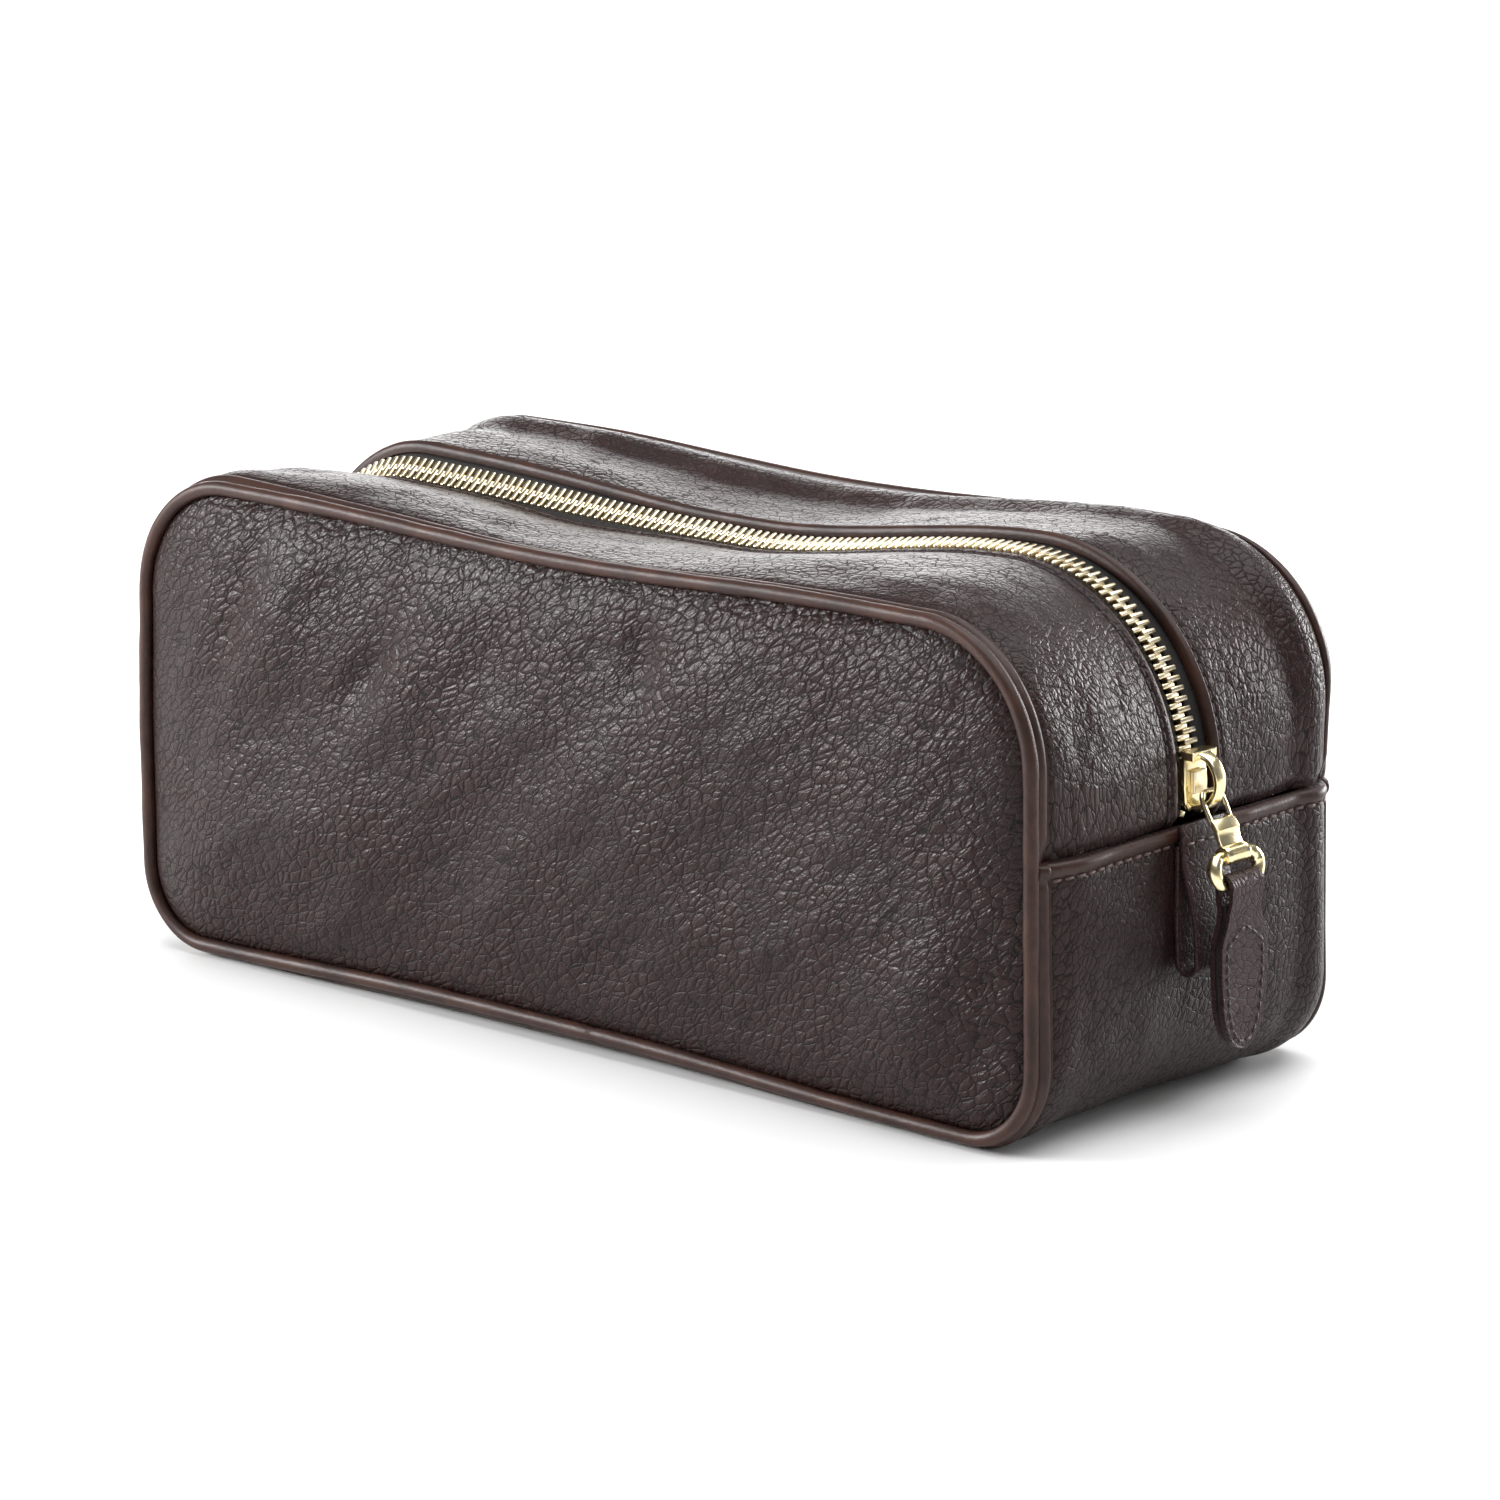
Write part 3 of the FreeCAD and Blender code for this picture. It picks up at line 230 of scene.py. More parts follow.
def rounded_block(size, bevel):
    """Points and faces of a block with rounded edges, centred on the origin."""
    work = bmesh.new()
    bmesh.ops.create_cube(work, size=1.0)
    bmesh.ops.scale(work, vec=size, verts=work.verts)
    bmesh.ops.bevel(work, geom=work.edges[:], offset=bevel, segments=3, profile=0.6, affect="EDGES")
    points = np.array([vertex.co for vertex in work.verts])
    faces = [tuple(vertex.index for vertex in face.verts) for face in work.faces]
    work.free()
    return points, faces


def spline(points, steps):
    """A smooth curve through given points, as many steps between each pair."""
    points = np.asarray(points, float)
    padded = np.vstack([2 * points[0] - points[1], points, 2 * points[-1] - points[-2]])
    share = np.linspace(0, 1, steps, endpoint=False)[:, None]
    runs = []
    for a, b, c, d in zip(padded, padded[1:], padded[2:], padded[3:]):
        bend = (2 * a - 5 * b + 4 * c - d) * share**2 + (3 * b - a - 3 * c + d) * share**3
        runs.append(b + 0.5 * ((c - a) * share + bend))
    return np.vstack(runs + [points[-1:]])


def round_section(width, height, corner, steps=4):
    """A rounded rectangle as (across, up) points, anticlockwise."""
    points = []
    for turn, (right, up) in enumerate([(1, -1), (1, 1), (-1, 1), (-1, -1)]):
        middle = (right * (width / 2 - corner), up * (height / 2 - corner))
        for step in range(steps + 1):
            angle = math.pi / 2 * (turn - 1 + step / steps)
            points.append((middle[0] + corner * math.cos(angle), middle[1] + corner * math.sin(angle)))
    return np.array(points)


def sweep(path, sideways, section, scale=None):
    """Rings of a section carried along a path; sideways is the section's first axis."""
    tangent = unit(np.gradient(path, axis=0))
    across = unit(np.asarray(sideways, float) + np.zeros_like(path))
    up = unit(np.cross(tangent, across))
    if scale is None:
        scale = np.ones((len(path), 2))
    first = section[None, :, 0, None] * scale[:, None, 0, None] * across[:, None, :]
    second = section[None, :, 1, None] * scale[:, None, 1, None] * up[:, None, :]
    return path[:, None, :] + first + second


# ---------------------------------------------------------------------------- materials


class Shader:
    """A small helper that adds nodes to one material and links them as it goes."""

    def __init__(self, name):
        self.material = bpy.data.materials.new(name)
        self.material.use_nodes = True
        self.tree = self.material.node_tree
        self.surface = self.tree.nodes["Principled BSDF"]

    def add(self, kind, inputs=(), **settings):
        """A node with its settings, its inputs given as values or as other sockets."""
        node = self.tree.nodes.new(kind)
        for key, value in settings.items():
            setattr(node, key, value)
        for key, value in dict(inputs).items():
            self.put(node.inputs[key], value)
        return node

    def put(self, socket, value):
        """Set or link one input."""
        if isinstance(value, bpy.types.NodeSocket):
            self.tree.links.new(value, socket)
        else:
            socket.default_value = value

    def math(self, operation, first, second=0.0, third=0.0):
        """A math node's result."""
        node = self.add("ShaderNodeMath", {0: first, 1: second, 2: third}, operation=operation)
        return node.outputs[0]

    def blend(self, share, first, second):
        """A colour between two colours."""
        node = self.add("ShaderNodeMix", data_type="RGBA")
        self.put(node.inputs["Factor"], share)
        self.put(node.inputs[6], (*first, 1))
        self.put(node.inputs[7], (*second, 1))
        return node.outputs[2]

    def remap(self, value, low, high, start=0.0, end=1.0):
        """A value stretched between two limits."""
        inputs = {"Value": value, "From Min": low, "From Max": high, "To Min": start, "To Max": end}
        node = self.add("ShaderNodeMapRange", inputs, interpolation_type="SMOOTHSTEP")
        return node.outputs[0]

    def sheet(self, cell, stretch=1.0, angle=0.0):
        """The piece's own sheet coordinates, in cells that may be long and turned."""
        source = self.add("ShaderNodeUVMap", uv_map="sheet").outputs[0]
        node = self.add("ShaderNodeMapping", {"Vector": source}, vector_type="TEXTURE")
        node.inputs["Rotation"].default_value = (0, 0, math.radians(angle))
        node.inputs["Scale"].default_value = (cell * stretch * MM, cell * MM, 1)
        return node.outputs[0]

    def noise(self, vector, scale=1.0, detail=2.0, roughness=0.5):
        """Noise texture node."""
        inputs = {"Vector": vector, "Scale": scale, "Detail": detail, "Roughness": roughness}
        return self.add("ShaderNodeTexNoise", inputs)

    def bump(self, height, distance, strength=1.0):
        """Use a height as bump on the surface."""
        inputs = {"Height": height, "Distance": distance * MM, "Strength": strength}
        node = self.add("ShaderNodeBump", inputs)
        self.put(self.surface.inputs["Normal"], node.outputs[0])

    def shade(self, **values):
        """Set or link the surface's inputs."""
        for key, value in values.items():
            self.put(self.surface.inputs[key.replace("_", " ").title().replace("Ior", "IOR")], value)


def grained_leather(name, dark, light, cell, stretch, angle, depth, rough, crease=0.5):
    """Pebbled leather: domed cells bounded by cracks, finer cells on them, long creases; the colour is
    darkened in the cracks as painted shade.
    """
    shader = Shader(name)
    plain = shader.sheet(cell, stretch, angle)
    drift = shader.noise(plain, 0.3, 3.0, 0.6)
    shift = shader.add(
        "ShaderNodeVectorMath", {0: drift.outputs["Color"], 1: (0.5, 0.5, 0.5)}, operation="SUBTRACT",
    )
    scaled = shader.add("ShaderNodeVectorMath", {0: shift.outputs[0], "Scale": 0.75}, operation="SCALE")
    warped = shader.add("ShaderNodeVectorMath", {0: plain, 1: scaled.outputs[0]}, operation="ADD").outputs[0]
    edges = []
    for scale in (0.62, 1.35):
        inputs = {"Vector": warped, "Scale": scale}
        cells = shader.add("ShaderNodeTexVoronoi", inputs, feature="DISTANCE_TO_EDGE")
        edges.append(cells.outputs["Distance"])
    dome = shader.remap(edges[0], -0.10, 0.34)
    crack = shader.remap(edges[0], 0.012, 0.07)
    small_dome = shader.remap(edges[1], -0.06, 0.30)
    small_crack = shader.remap(edges[1], 0.0, 0.09)
    folds = shader.noise(shader.sheet(cell * 2.2, 3.4, angle + 10), 1.0, 4.0, 0.6).outputs["Fac"]
    pores = shader.noise(warped, 8.0, 3.0, 0.6).outputs["Fac"]
    patch = shader.noise(shader.sheet(24.0), 1.0, 3.0).outputs["Fac"]
    coarse = shader.remap(patch, 0.36, 0.64, 0.45, 1.0)
    height = shader.math("MULTIPLY", shader.math("MULTIPLY_ADD", crack, 0.35, dome), coarse)
    height = shader.math("MULTIPLY_ADD", small_dome, 0.3, height)
    height = shader.math("MULTIPLY_ADD", shader.remap(folds, 0.34, 0.66), crease, height)
    height = shader.math("MULTIPLY_ADD", pores, 0.07, height)
    # The colour is darkened in the cracks as painted shade; the same crack mask also makes the cracks
    # rougher.
    skin_outside_crack_shade = shader.math("MULTIPLY", crack, shader.math("MULTIPLY_ADD", small_crack, 0.4, 0.6))
    tone = shader.math("MULTIPLY", skin_outside_crack_shade, shader.remap(patch, 0.25, 0.75, 0.6, 1.0))
    shader.shade(
        base_color=shader.blend(tone, dark, light),
        roughness=shader.math("MULTIPLY_ADD", skin_outside_crack_shade, -0.35, rough + 0.35),
        specular_ior_level=0.24,
    )
    shader.bump(height, depth)
    return shader.material


def smooth_leather(name, dark, light, rough):
    """Thin skived leather, nearly smooth, with fine pores and lighter, glossier patches laid at random."""
    shader = Shader(name)
    pores = shader.noise(shader.sheet(0.9, 2.2), 1.0, 4.0, 0.65).outputs["Fac"]
    patch = shader.noise(shader.sheet(7.0, 2.0), 1.0, 4.0, 0.6).outputs["Fac"]
    tone = shader.math("MULTIPLY_ADD", pores, 0.35, shader.math("MULTIPLY", patch, 0.8))
    shader.shade(
        base_color=shader.blend(shader.remap(tone, 0.3, 0.85), dark, light),
        roughness=shader.remap(tone, 0.2, 0.9, rough + 0.1, rough - 0.06),
        specular_ior_level=0.32,
    )
    shader.bump(pores, 0.12, 0.8)
    return shader.material


def woven(name, dark, light, thread, twill=0.0, sheen=0.25):
    """Cloth whose threads cross at right angles, or on the slant for a twill."""
    shader = Shader(name)
    lanes = []
    for angle in (twill, twill + 90):
        vector = shader.sheet(thread * 2, 1.0, angle)
        inputs = {"Vector": vector, "Scale": 1.0, "Distortion": 0.6, "Detail": 1.0}
        lanes.append(shader.add("ShaderNodeTexWave", inputs).outputs["Fac"])
    weave = shader.math("MULTIPLY", lanes[0], lanes[1])
    fuzz = shader.noise(shader.sheet(1.3), 1.0, 4.0, 0.7).outputs["Fac"]
    tone = shader.math("MULTIPLY_ADD", fuzz, 0.5, weave)
    shader.shade(
        base_color=shader.blend(shader.remap(tone, 0.1, 1.1), dark, light),
        roughness=shader.remap(fuzz, 0.3, 0.7, 0.75, 0.92),
        sheen_weight=sheen,
    )
    shader.bump(tone, 0.12)
    return shader.material


def metal(name, colour, shade, rough):
    """Plated metal with fine polishing marks and a slightly uneven tone."""
    shader = Shader(name)
    marks = shader.noise(shader.sheet(0.5, 9.0, 20.0), 1.0, 5.0, 0.6).outputs["Fac"]
    patch = shader.noise(shader.sheet(3.0), 1.0, 3.0).outputs["Fac"]
    shader.shade(
        base_color=shader.blend(shader.remap(patch, 0.3, 0.7), shade, colour),
        roughness=shader.math("MULTIPLY_ADD", marks, 0.14, rough - 0.05),
        metallic=1.0,
    )
    shader.bump(marks, 0.012)
    return shader.material


def thread(name, dark, light):
    """Waxed sewing thread with its twist."""
    shader = Shader(name)
    vector = shader.sheet(0.5, 1.0, 35)
    wave = shader.add("ShaderNodeTexWave", {"Vector": vector, "Scale": 1.0, "Distortion": 1.0})
    shader.shade(
        base_color=shader.blend(wave.outputs["Fac"], dark, light),
        roughness=shader.remap(wave.outputs["Fac"], 0.0, 1.0, 0.7, 0.5),
    )
    shader.bump(wave.outputs["Fac"], 0.08)
    return shader.material


def plain_floor():
    """A pale matt floor, very slightly mottled."""
    shader = Shader("floor_paper")
    patch = shader.noise(shader.sheet(90.0), 1.0, 3.0).outputs["Fac"]
    shader.shade(
        base_color=shader.blend(patch, (0.80, 0.80, 0.80), (0.83, 0.83, 0.83)),
        roughness=0.85,
    )
    return shader.material


PANEL_LEATHER = grained_leather(
    "panel_leather", (0.005, 0.0015, 0.0015), (0.019, 0.006, 0.0045), 1.25, 1.9, 36, 0.25, 0.36,
)
GUSSET_LEATHER = grained_leather(
    "gusset_leather", (0.005, 0.002, 0.002), (0.022, 0.009, 0.007), 1.1, 1.4, 24, 0.17, 0.39,
)
STRIP_LEATHER = grained_leather(
    "strip_leather", (0.006, 0.002, 0.002), (0.025, 0.010, 0.008), 1.2, 1.4, -12, 0.2, 0.37, 0.7,
)
STRAP_LEATHER = grained_leather(
    "strap_leather", (0.010, 0.004, 0.004), (0.040, 0.019, 0.018), 1.0, 1.2, 60, 0.08, 0.36, 0.3,
)
PIPING_LEATHER = smooth_leather("piping_leather", (0.012, 0.004, 0.003), (0.058, 0.021, 0.013), 0.45)
ROLLED_LEATHER = smooth_leather("rolled_leather", (0.011, 0.004, 0.003), (0.046, 0.017, 0.011), 0.45)
EDGE_LEATHER = smooth_leather("edge_leather", (0.006, 0.004, 0.004), (0.016, 0.010, 0.010), 0.45)
BINDING_LEATHER = smooth_leather("binding_leather", (0.02, 0.012, 0.01), (0.05, 0.03, 0.026), 0.6)
TAPE_CLOTH = woven("tape_cloth", (0.004, 0.003, 0.003), (0.014, 0.010, 0.009), 0.45, 45, 0.02)
LINING_CLOTH = woven("lining_cloth", (0.10, 0.062, 0.04), (0.24, 0.16, 0.11), 0.35)
CORD_CLOTH = woven("cord_cloth", (0.3, 0.26, 0.2), (0.6, 0.54, 0.44), 0.4, 30)
GOLD = metal("polished_gold", (0.94, 0.83, 0.54), (0.85, 0.72, 0.40), 0.2)
TOOTH_GOLD = metal("tooth_gold", (0.86, 0.78, 0.60), (0.76, 0.64, 0.42), 0.30)
DARK_THREAD = thread("dark_thread", (0.010, 0.005, 0.005), (0.045, 0.024, 0.025))
BROWN_THREAD = thread("brown_thread", (0.055, 0.030, 0.026), (0.20, 0.12, 0.10))


# --------------------------------------------------------------- outlines of the gussets

# Both outlines run anticlockwise from the seam of the right end, with the same number
# of points in each stretch, so that a station joins the piping line to the zip line.

COUNTS = {
    "up": 16, "corner": 44, "top": 190, "far_corner": 36, "down": 18,
    "base_down": 40, "low_far": 18, "base": 170, "low_near": 18, "base_up": 40,
}
STRETCHES = tuple(COUNTS)
STARTS = dict(zip(STRETCHES, np.concatenate([[0], np.cumsum(list(COUNTS.values()))]).tolist()))
STATIONS = sum(COUNTS.values())


def quarter(middle, radius, start, count):
    """A quarter of a circle, anticlockwise, without its last point."""
    angles = math.radians(start) + np.linspace(0, math.pi / 2, count, endpoint=False)
    return np.stack([middle[0] + radius * np.cos(angles), middle[1] + radius * np.sin(angles)], axis=1)


def straight(start, end, count, bunch_start=1.0, bunch_end=1.0):
    """A straight run without its last point, with points bunched at either end."""
    share = np.linspace(0, 1, count, endpoint=False)
    share = share**bunch_start
    share = 1 - (1 - share) ** bunch_end
    return mix(np.array(start, float), np.array(end, float), share[:, None])


def outline(right, left, low, tops, radii, top_line):
    """A closed side outline; tops and radii are for the right and left top corners."""
    near, far, under = radii
    parts = {
        "up": straight((right, SEAM), (right, tops[0] - near), COUNTS["up"]),
        "corner": quarter((right - near, tops[0] - near), near, 0, COUNTS["corner"]),
        "top": straight((right - near, tops[0]), (left + far, tops[1]), COUNTS["top"]),
        "far_corner": quarter((left + far, tops[1] - far), far, 90, COUNTS["far_corner"]),
        "down": straight((left, tops[1] - far), (left, SEAM), COUNTS["down"]),
        "base_down": straight((left, SEAM), (left, low + under), COUNTS["base_down"], bunch_start=1.7),
        "low_far": quarter((left + under, low + under), under, 180, COUNTS["low_far"]),
        "base": straight((left + under, low), (right - under, low), COUNTS["base"]),
        "low_near": quarter((right - under, low + under), under, 270, COUNTS["low_near"]),
        "base_up": straight((right, low + under), (right, SEAM), COUNTS["base_up"], bunch_end=1.7),
    }
    parts["top"][:, 1] = top_line(parts["top"][:, 0])
    return np.vstack([parts[name] for name in STRETCHES])


def zip_height(along):
    """Height of the leather beside the zip: high at the right, low in the middle."""
    sagged = mix(ZIP_TOP_RIGHT, ZIP_TOP, smooth((SAG_START - along) / (SAG_START - SAG_END)))
    return sagged + (ZIP_TOP_LEFT - ZIP_TOP) * smooth((-along - 15) / 90.0)


def pipe_height(along):
    """Height of the piping's middle along the top, dipping between the corners."""
    dip = 1.6 * np.exp(-(((along + 5) / 45.0) ** 2))
    return PIPE_TOP + 0.9 * smooth((along - 20) / 70.0) + 0.5 * smooth((-along - 40) / 50.0) - dip


def pipe_outline():
    """The piping line, with the ends' lean and the arch of its lower edge."""
    tops = (PIPE_TOP + 0.9, PIPE_TOP + 0.5)
    line = outline(PIPE_HALF - 1.2, -PIPE_HALF - 1.8, PIPE_BOTTOM, tops, PIPE_CORNERS, pipe_height)
    across, up = line[:, 0], line[:, 1]
    low = smooth((45.0 - up) / 40.0)
    arch = 2.2 * np.exp(-(np.abs((across + 12) / 78.0) ** 3.2))
    line[:, 1] += low * arch
    line[:, 0] += 1.4 * smooth((up - 50) / 40.0) * smooth((-across - 60) / 60.0)
    return line


def line_normals(line):
    """Outward normals of a closed outline."""
    along = np.roll(line, -1, axis=0) - np.roll(line, 1, axis=0)
    return unit(np.stack([along[:, 1], -along[:, 0]], axis=1))


PIPE_LINE = pipe_outline()
ZIP_LINE = outline(
    GUSSET_HALF, -GUSSET_HALF, 0.0,
    (ZIP_TOP_RIGHT, ZIP_TOP_LEFT), (CORNER_RIGHT, CORNER_LEFT, CORNER_LOW), zip_height,
)
PIPE_NORMAL = line_normals(PIPE_LINE)
ZIP_NORMAL = line_normals(ZIP_LINE)
ARC = run_along(ZIP_LINE)
MIDDLE = STARTS["top"] + int(np.argmin(np.abs(ZIP_LINE[STARTS["top"]:STARTS["far_corner"], 0])))


def station_values(**stretch_values):
    """A number for each station, blended between the stretches' own values; others are 0."""
    marks, values = [], []
    for name in STRETCHES:
        start, end = STARTS[name], STARTS[name] + COUNTS[name]
        for share, value in zip((0.15, 0.85), stretch_values.get(name, (0, 0))):
            marks.append(mix(start, end, share))
            values.append(value)
    marks = [marks[-1] - STATIONS] + marks + [marks[0] + STATIONS]
    values = [values[-1]] + values + [values[0]]
    return np.interp(np.arange(STATIONS), marks, values)


# How far the stuffed gussets swell, how straight they run from the piping to the zip,
# how far the rear wall is tucked in, and how far the rolled edges of each wall stand out.
FULLNESS = station_values(
    up=(0.8, 1.0), corner=(1.4, 2.2), top=(2.2, 3.2), far_corner=(3.0, 1.6), down=(0.8, 0.6),
    base_down=(1.2, 1.0), low_far=(0.6, 0.2), base=(0.0, 0.0), low_near=(0.3, 0.9), base_up=(1.4, 1.2),
)
FLATNESS = station_values(
    up=(0.5, 0.3), corner=(0.1, 0.0), top=(0.0, 0.0), far_corner=(0.0, 0.1), down=(0.3, 0.5),
    base_down=(0.7, 0.9), low_far=(1.0, 1.0), base=(1.0, 1.0), low_near=(1.0, 1.0), base_up=(0.9, 0.7),
)
REAR_TUCK = station_values(
    up=(4.4, 3.6), corner=(2.6, 1.6), top=(1.4, 1.8), far_corner=(2.6, 3.0), down=(2.6, 2.4),
    base_down=(2.2, 1.6), low_far=(1.0, 0.6), base=(0.3, 0.3), low_near=(1.6, 3.8), base_up=(4.8, 4.8),
)
ROLL = {
    -1: station_values(
        top=(0.0, 0.3), far_corner=(1.2, 1.2), down=(0.4, 0.0),
        base_down=(0.2, 0.4), low_far=(0.8, 1.6), base=(2.4, 2.2), low_near=(1.6, 0.8), base_up=(0.4, 0.0),
    ),
    1: station_values(
        up=(3.0, 3.0), corner=(3.0, 3.0), top=(3.0, 3.0), far_corner=(3.0, 2.6), down=(2.0, 2.0),
        base_down=(1.8, 1.4), low_far=(0.8, 0.3), base=(0.0, 0.0), low_near=(1.0, 2.6), base_up=(3.0, 3.0),
    ),
}
# The lean of the chain in degrees, and how far the edges beside it sink, rise and close.
LEAN = station_values(corner=(0, 2), top=(8, 40), far_corner=(38, 22), down=(8, 0))
FRONT_DROP = station_values(corner=(0.3, 1.8), top=(2.2, 3.3), far_corner=(3.2, 1.8), down=(0.6, 0.0))
REAR_RISE = station_values(corner=(0.2, 0.3), top=(0.4, 2.8), far_corner=(3.0, 1.4), down=(0.4, 0.0))
CLOSING = station_values(
    up=(0.2, 0.4), corner=(0.9, 1.8), top=(2.2, 3.2), far_corner=(3.0, 1.4), down=(0.4, 0.0),
)


def top_hump(middle, reach):
    """1 at a place along the top of the bag, fading to 0 away from it."""
    on_top = ZIP_LINE[:, 1] > SEAM + 20
    return np.exp(-(((ZIP_LINE[:, 0] - middle) / reach) ** 2)) * on_top


GAPING = top_hump(-40, 21.0)
FRONT_DROP = FRONT_DROP + GAPING
CLOSING = CLOSING - 1.3 * GAPING
REAR_RISE = REAR_RISE - 0.9 * top_hump(-12, 26.0)
SAGGING = top_hump(-8, 42.0)
WALL_LINE = {-1: PIPE_LINE, 1: PIPE_LINE - PIPE_NORMAL * REAR_TUCK[:, None]}


def swelling(stations, depths):
    """How far the stuffed bag pushes its leather out, with soft wrinkles, in millimetres."""
    share = np.clip((GUSSET_DEPTH - np.abs(depths)) / (GUSSET_DEPTH - ZIP_EDGE), 0, 1)
    free = smooth((GUSSET_DEPTH - 3.5 - np.abs(depths)) / 8.0) * smooth((np.abs(depths) - 9.5) / 9.0)
    round_up = np.sin(math.pi * share**0.8) ** 0.8
    full = (FULLNESS - 2.0 * SAGGING)[stations][:, None]
    along = ARC[stations % STATIONS][:, None]
    place = depths[None, :]
    wave = 0.55 * value_noise(along / 23.0, place / 13.0, 3) + 0.22 * value_noise(along / 7.5, place / 4.2, 5)
    base = smooth((SEAM - 56 - ZIP_LINE[stations, 1]) / 8.0)[:, None]
    calm = 1 - 0.9 * base
    return full * round_up[None, :] + wave * calm * free[None, :]


CHAIN_REACH = 3.6  # from the zip's middle to where the tape leaves the leaning chain
LIP_REACH = 36.0  # from the zip's middle to where the leather no longer sinks or rises


def leaning(stations, depths):
    """The lean beside the zip: sideways and outward shifts, and an angle in radians.

    The front edge has sunk and closed on the chain, the rear edge stands up, and the
    chain between them leans to the front.
    """
    reach = np.abs(depths)[None, :]
    side = np.sign(depths)[None, :]
    angle = np.radians(LEAN)[stations][:, None]
    fading = smooth((LIP_REACH - reach) / (LIP_REACH - ZIP_EDGE))
    lip = np.where(side > 0, REAR_RISE[stations][:, None], -FRONT_DROP[stations][:, None]) * fading
    inner = np.minimum(reach, CHAIN_REACH)
    turned = side * inner * np.sin(angle)
    share = smooth((reach - CHAIN_REACH) / (ZIP_EDGE - CHAIN_REACH))
    rise = mix(turned, lip, share)
    narrow = -side * inner * (1 - np.cos(angle))
    close = np.where(side < 0, CLOSING[stations][:, None], 0.0) * smooth((26.0 - reach) / 20.0)
    sideways = mix(narrow, close, share)
    return sideways, rise, angle * (1 - share)


def place(stations, depths, heights, lift=0.0):
    """Points of a gusset section carried to stations; heights are off the surface.

    A station joins the piping line to the zip line. Towards the seams at the ends the
    way between them gets straighter, so that the ends are flat beside the piping.
    """
    stations = np.asarray(stations) % STATIONS
    depths, heights = np.asarray(depths, float), np.asarray(heights, float)
    share = np.clip((GUSSET_DEPTH - np.abs(depths)) / (GUSSET_DEPTH - ZIP_EDGE), 0, 1)[None, :]
    flat = FLATNESS[stations][:, None]
    rear = (depths > 0)[None, :]
    quick = np.where(rear, 1 - (1 - share) ** 7, 1 - (1 - share) ** 5)
    share = mix(share, quick, np.where(rear, 0.5 + flat / 2, flat))[..., None]
    pipe = np.where(rear[..., None], WALL_LINE[1][stations][:, None, :], PIPE_LINE[stations][:, None, :])
    line = mix(pipe, ZIP_LINE[stations][:, None, :], share)
    normal = unit(mix(PIPE_NORMAL[stations][:, None, :], ZIP_NORMAL[stations][:, None, :], share))
    roll = np.where(rear, ROLL[1][stations][:, None], ROLL[-1][stations][:, None])
    roll = roll * smooth((np.abs(depths) - 34.0) / 9.0)[None, :]
    sideways, rise, angle = leaning(stations, depths)
    height = heights[None, :] * np.cos(angle) + swelling(stations, depths) + lift + rise + roll
    moved = line + normal * height[..., None]
    across = depths[None, :] + sideways - heights[None, :] * np.sin(angle)
    return np.stack([moved[..., 0], across, moved[..., 1]], axis=-1)


# ------------------------------------------------------------------- sections of gussets

ROLL_WIDTH = 3.1  # smooth rolled band beside the piping
STITCH_INSET = 3.1  # folded zip edge to its row of stitches


def roll_profile():
    """(depth, height) points over the rolled band and into the groove beside it."""
    points = []
    middle = STRIP_EDGE - ROLL_WIDTH / 2
    for angle in np.linspace(0, math.pi, 13):
        points.append((middle + ROLL_WIDTH / 2 * math.cos(angle), -0.5 + 1.35 * math.sin(angle)))
    groove = STRIP_EDGE - ROLL_WIDTH
    points += [(groove - 0.25, -0.62), (groove - 0.7, -0.25), (groove - 1.4, 0.0), (groove - 2.4, 0.1)]
    return points


def strip_section(lift):
    """The closed section of a top strip, from the piping to the folded edge and back."""
    edge, row = ZIP_EDGE, ZIP_EDGE + STITCH_INSET
    points = roll_profile()
    points += [(depth, 0.1) for depth in np.linspace(points[-1][0] - 1.2, row + 1.6, 30)]
    points += [(row + 0.8, 0.05), (row + 0.35, -0.18), (row, -0.28), (row - 0.35, -0.12)]
    points += [(row - 0.9, 0.3 + lift / 2), (edge + 1.4, 0.42 + lift), (edge + 0.6, 0.3 + lift)]
    points += [(edge + 0.15, -0.1 + lift), (edge, -0.6 + lift / 2), (edge + 0.1, -1.2)]
    points += [(edge + 0.6, -LEATHER), (row, -LEATHER - 0.1), (row + 4.0, -LEATHER)]
    back = np.linspace(row + 7.0, STRIP_EDGE - ROLL_WIDTH - 2, 16)
    points += [(depth, -LEATHER) for depth in back]
    points += [(STRIP_EDGE - 2.5, -LEATHER - 0.3), (STRIP_EDGE - 0.6, -LEATHER)]
    return np.array(points)


def hidden_end(stations):
    """Inward shift where the top strips pass under the bottom gusset's hem."""
    height = ZIP_LINE[stations % STATIONS, 1]
    return (-1.7 * smooth((SEAM + 2.6 - height) / 3.0))[:, None]


def sheet_uv(stations, depths, girth):
    """Sheet coordinates of a swept gusset piece, in metres."""
    along = np.interp(stations, np.arange(STATIONS), ARC)
    along = np.where(stations < 0, ARC[0] - (ARC[-1] - ARC[stations % STATIONS]), along)
    run = run_along(np.stack([depths, girth], axis=1))
    return uv_grid(along, depths[0] + run)


HALVES = {
    "right": (np.arange(-5, MIDDLE + 1), 1),
    "left": (np.arange(MIDDLE, STARTS["base_down"] + 6), -1),
}


def hinge_blend(piece):
    """Bake the piece's placement into its mesh points."""
    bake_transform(piece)


def smooth_faces(section, faces, folded=True):
    """Flags for the faces on the rolled bands, and on the folded edge by the zip."""
    depths = np.abs((section[:, 0] + np.roll(section[:, 0], -1)) / 2)
    outside = (section[:, 1] > -1.3) & (np.roll(section[:, 1], -1) > -1.3)
    bare = outside & ((depths > STRIP_EDGE - ROLL_WIDTH - 0.6) | (folded & (depths < ZIP_EDGE + 1.3)))
    flags = [bool(bare[index % len(section)]) for index in range(len(faces))]
    flags[-2:] = [False, False]
    return flags


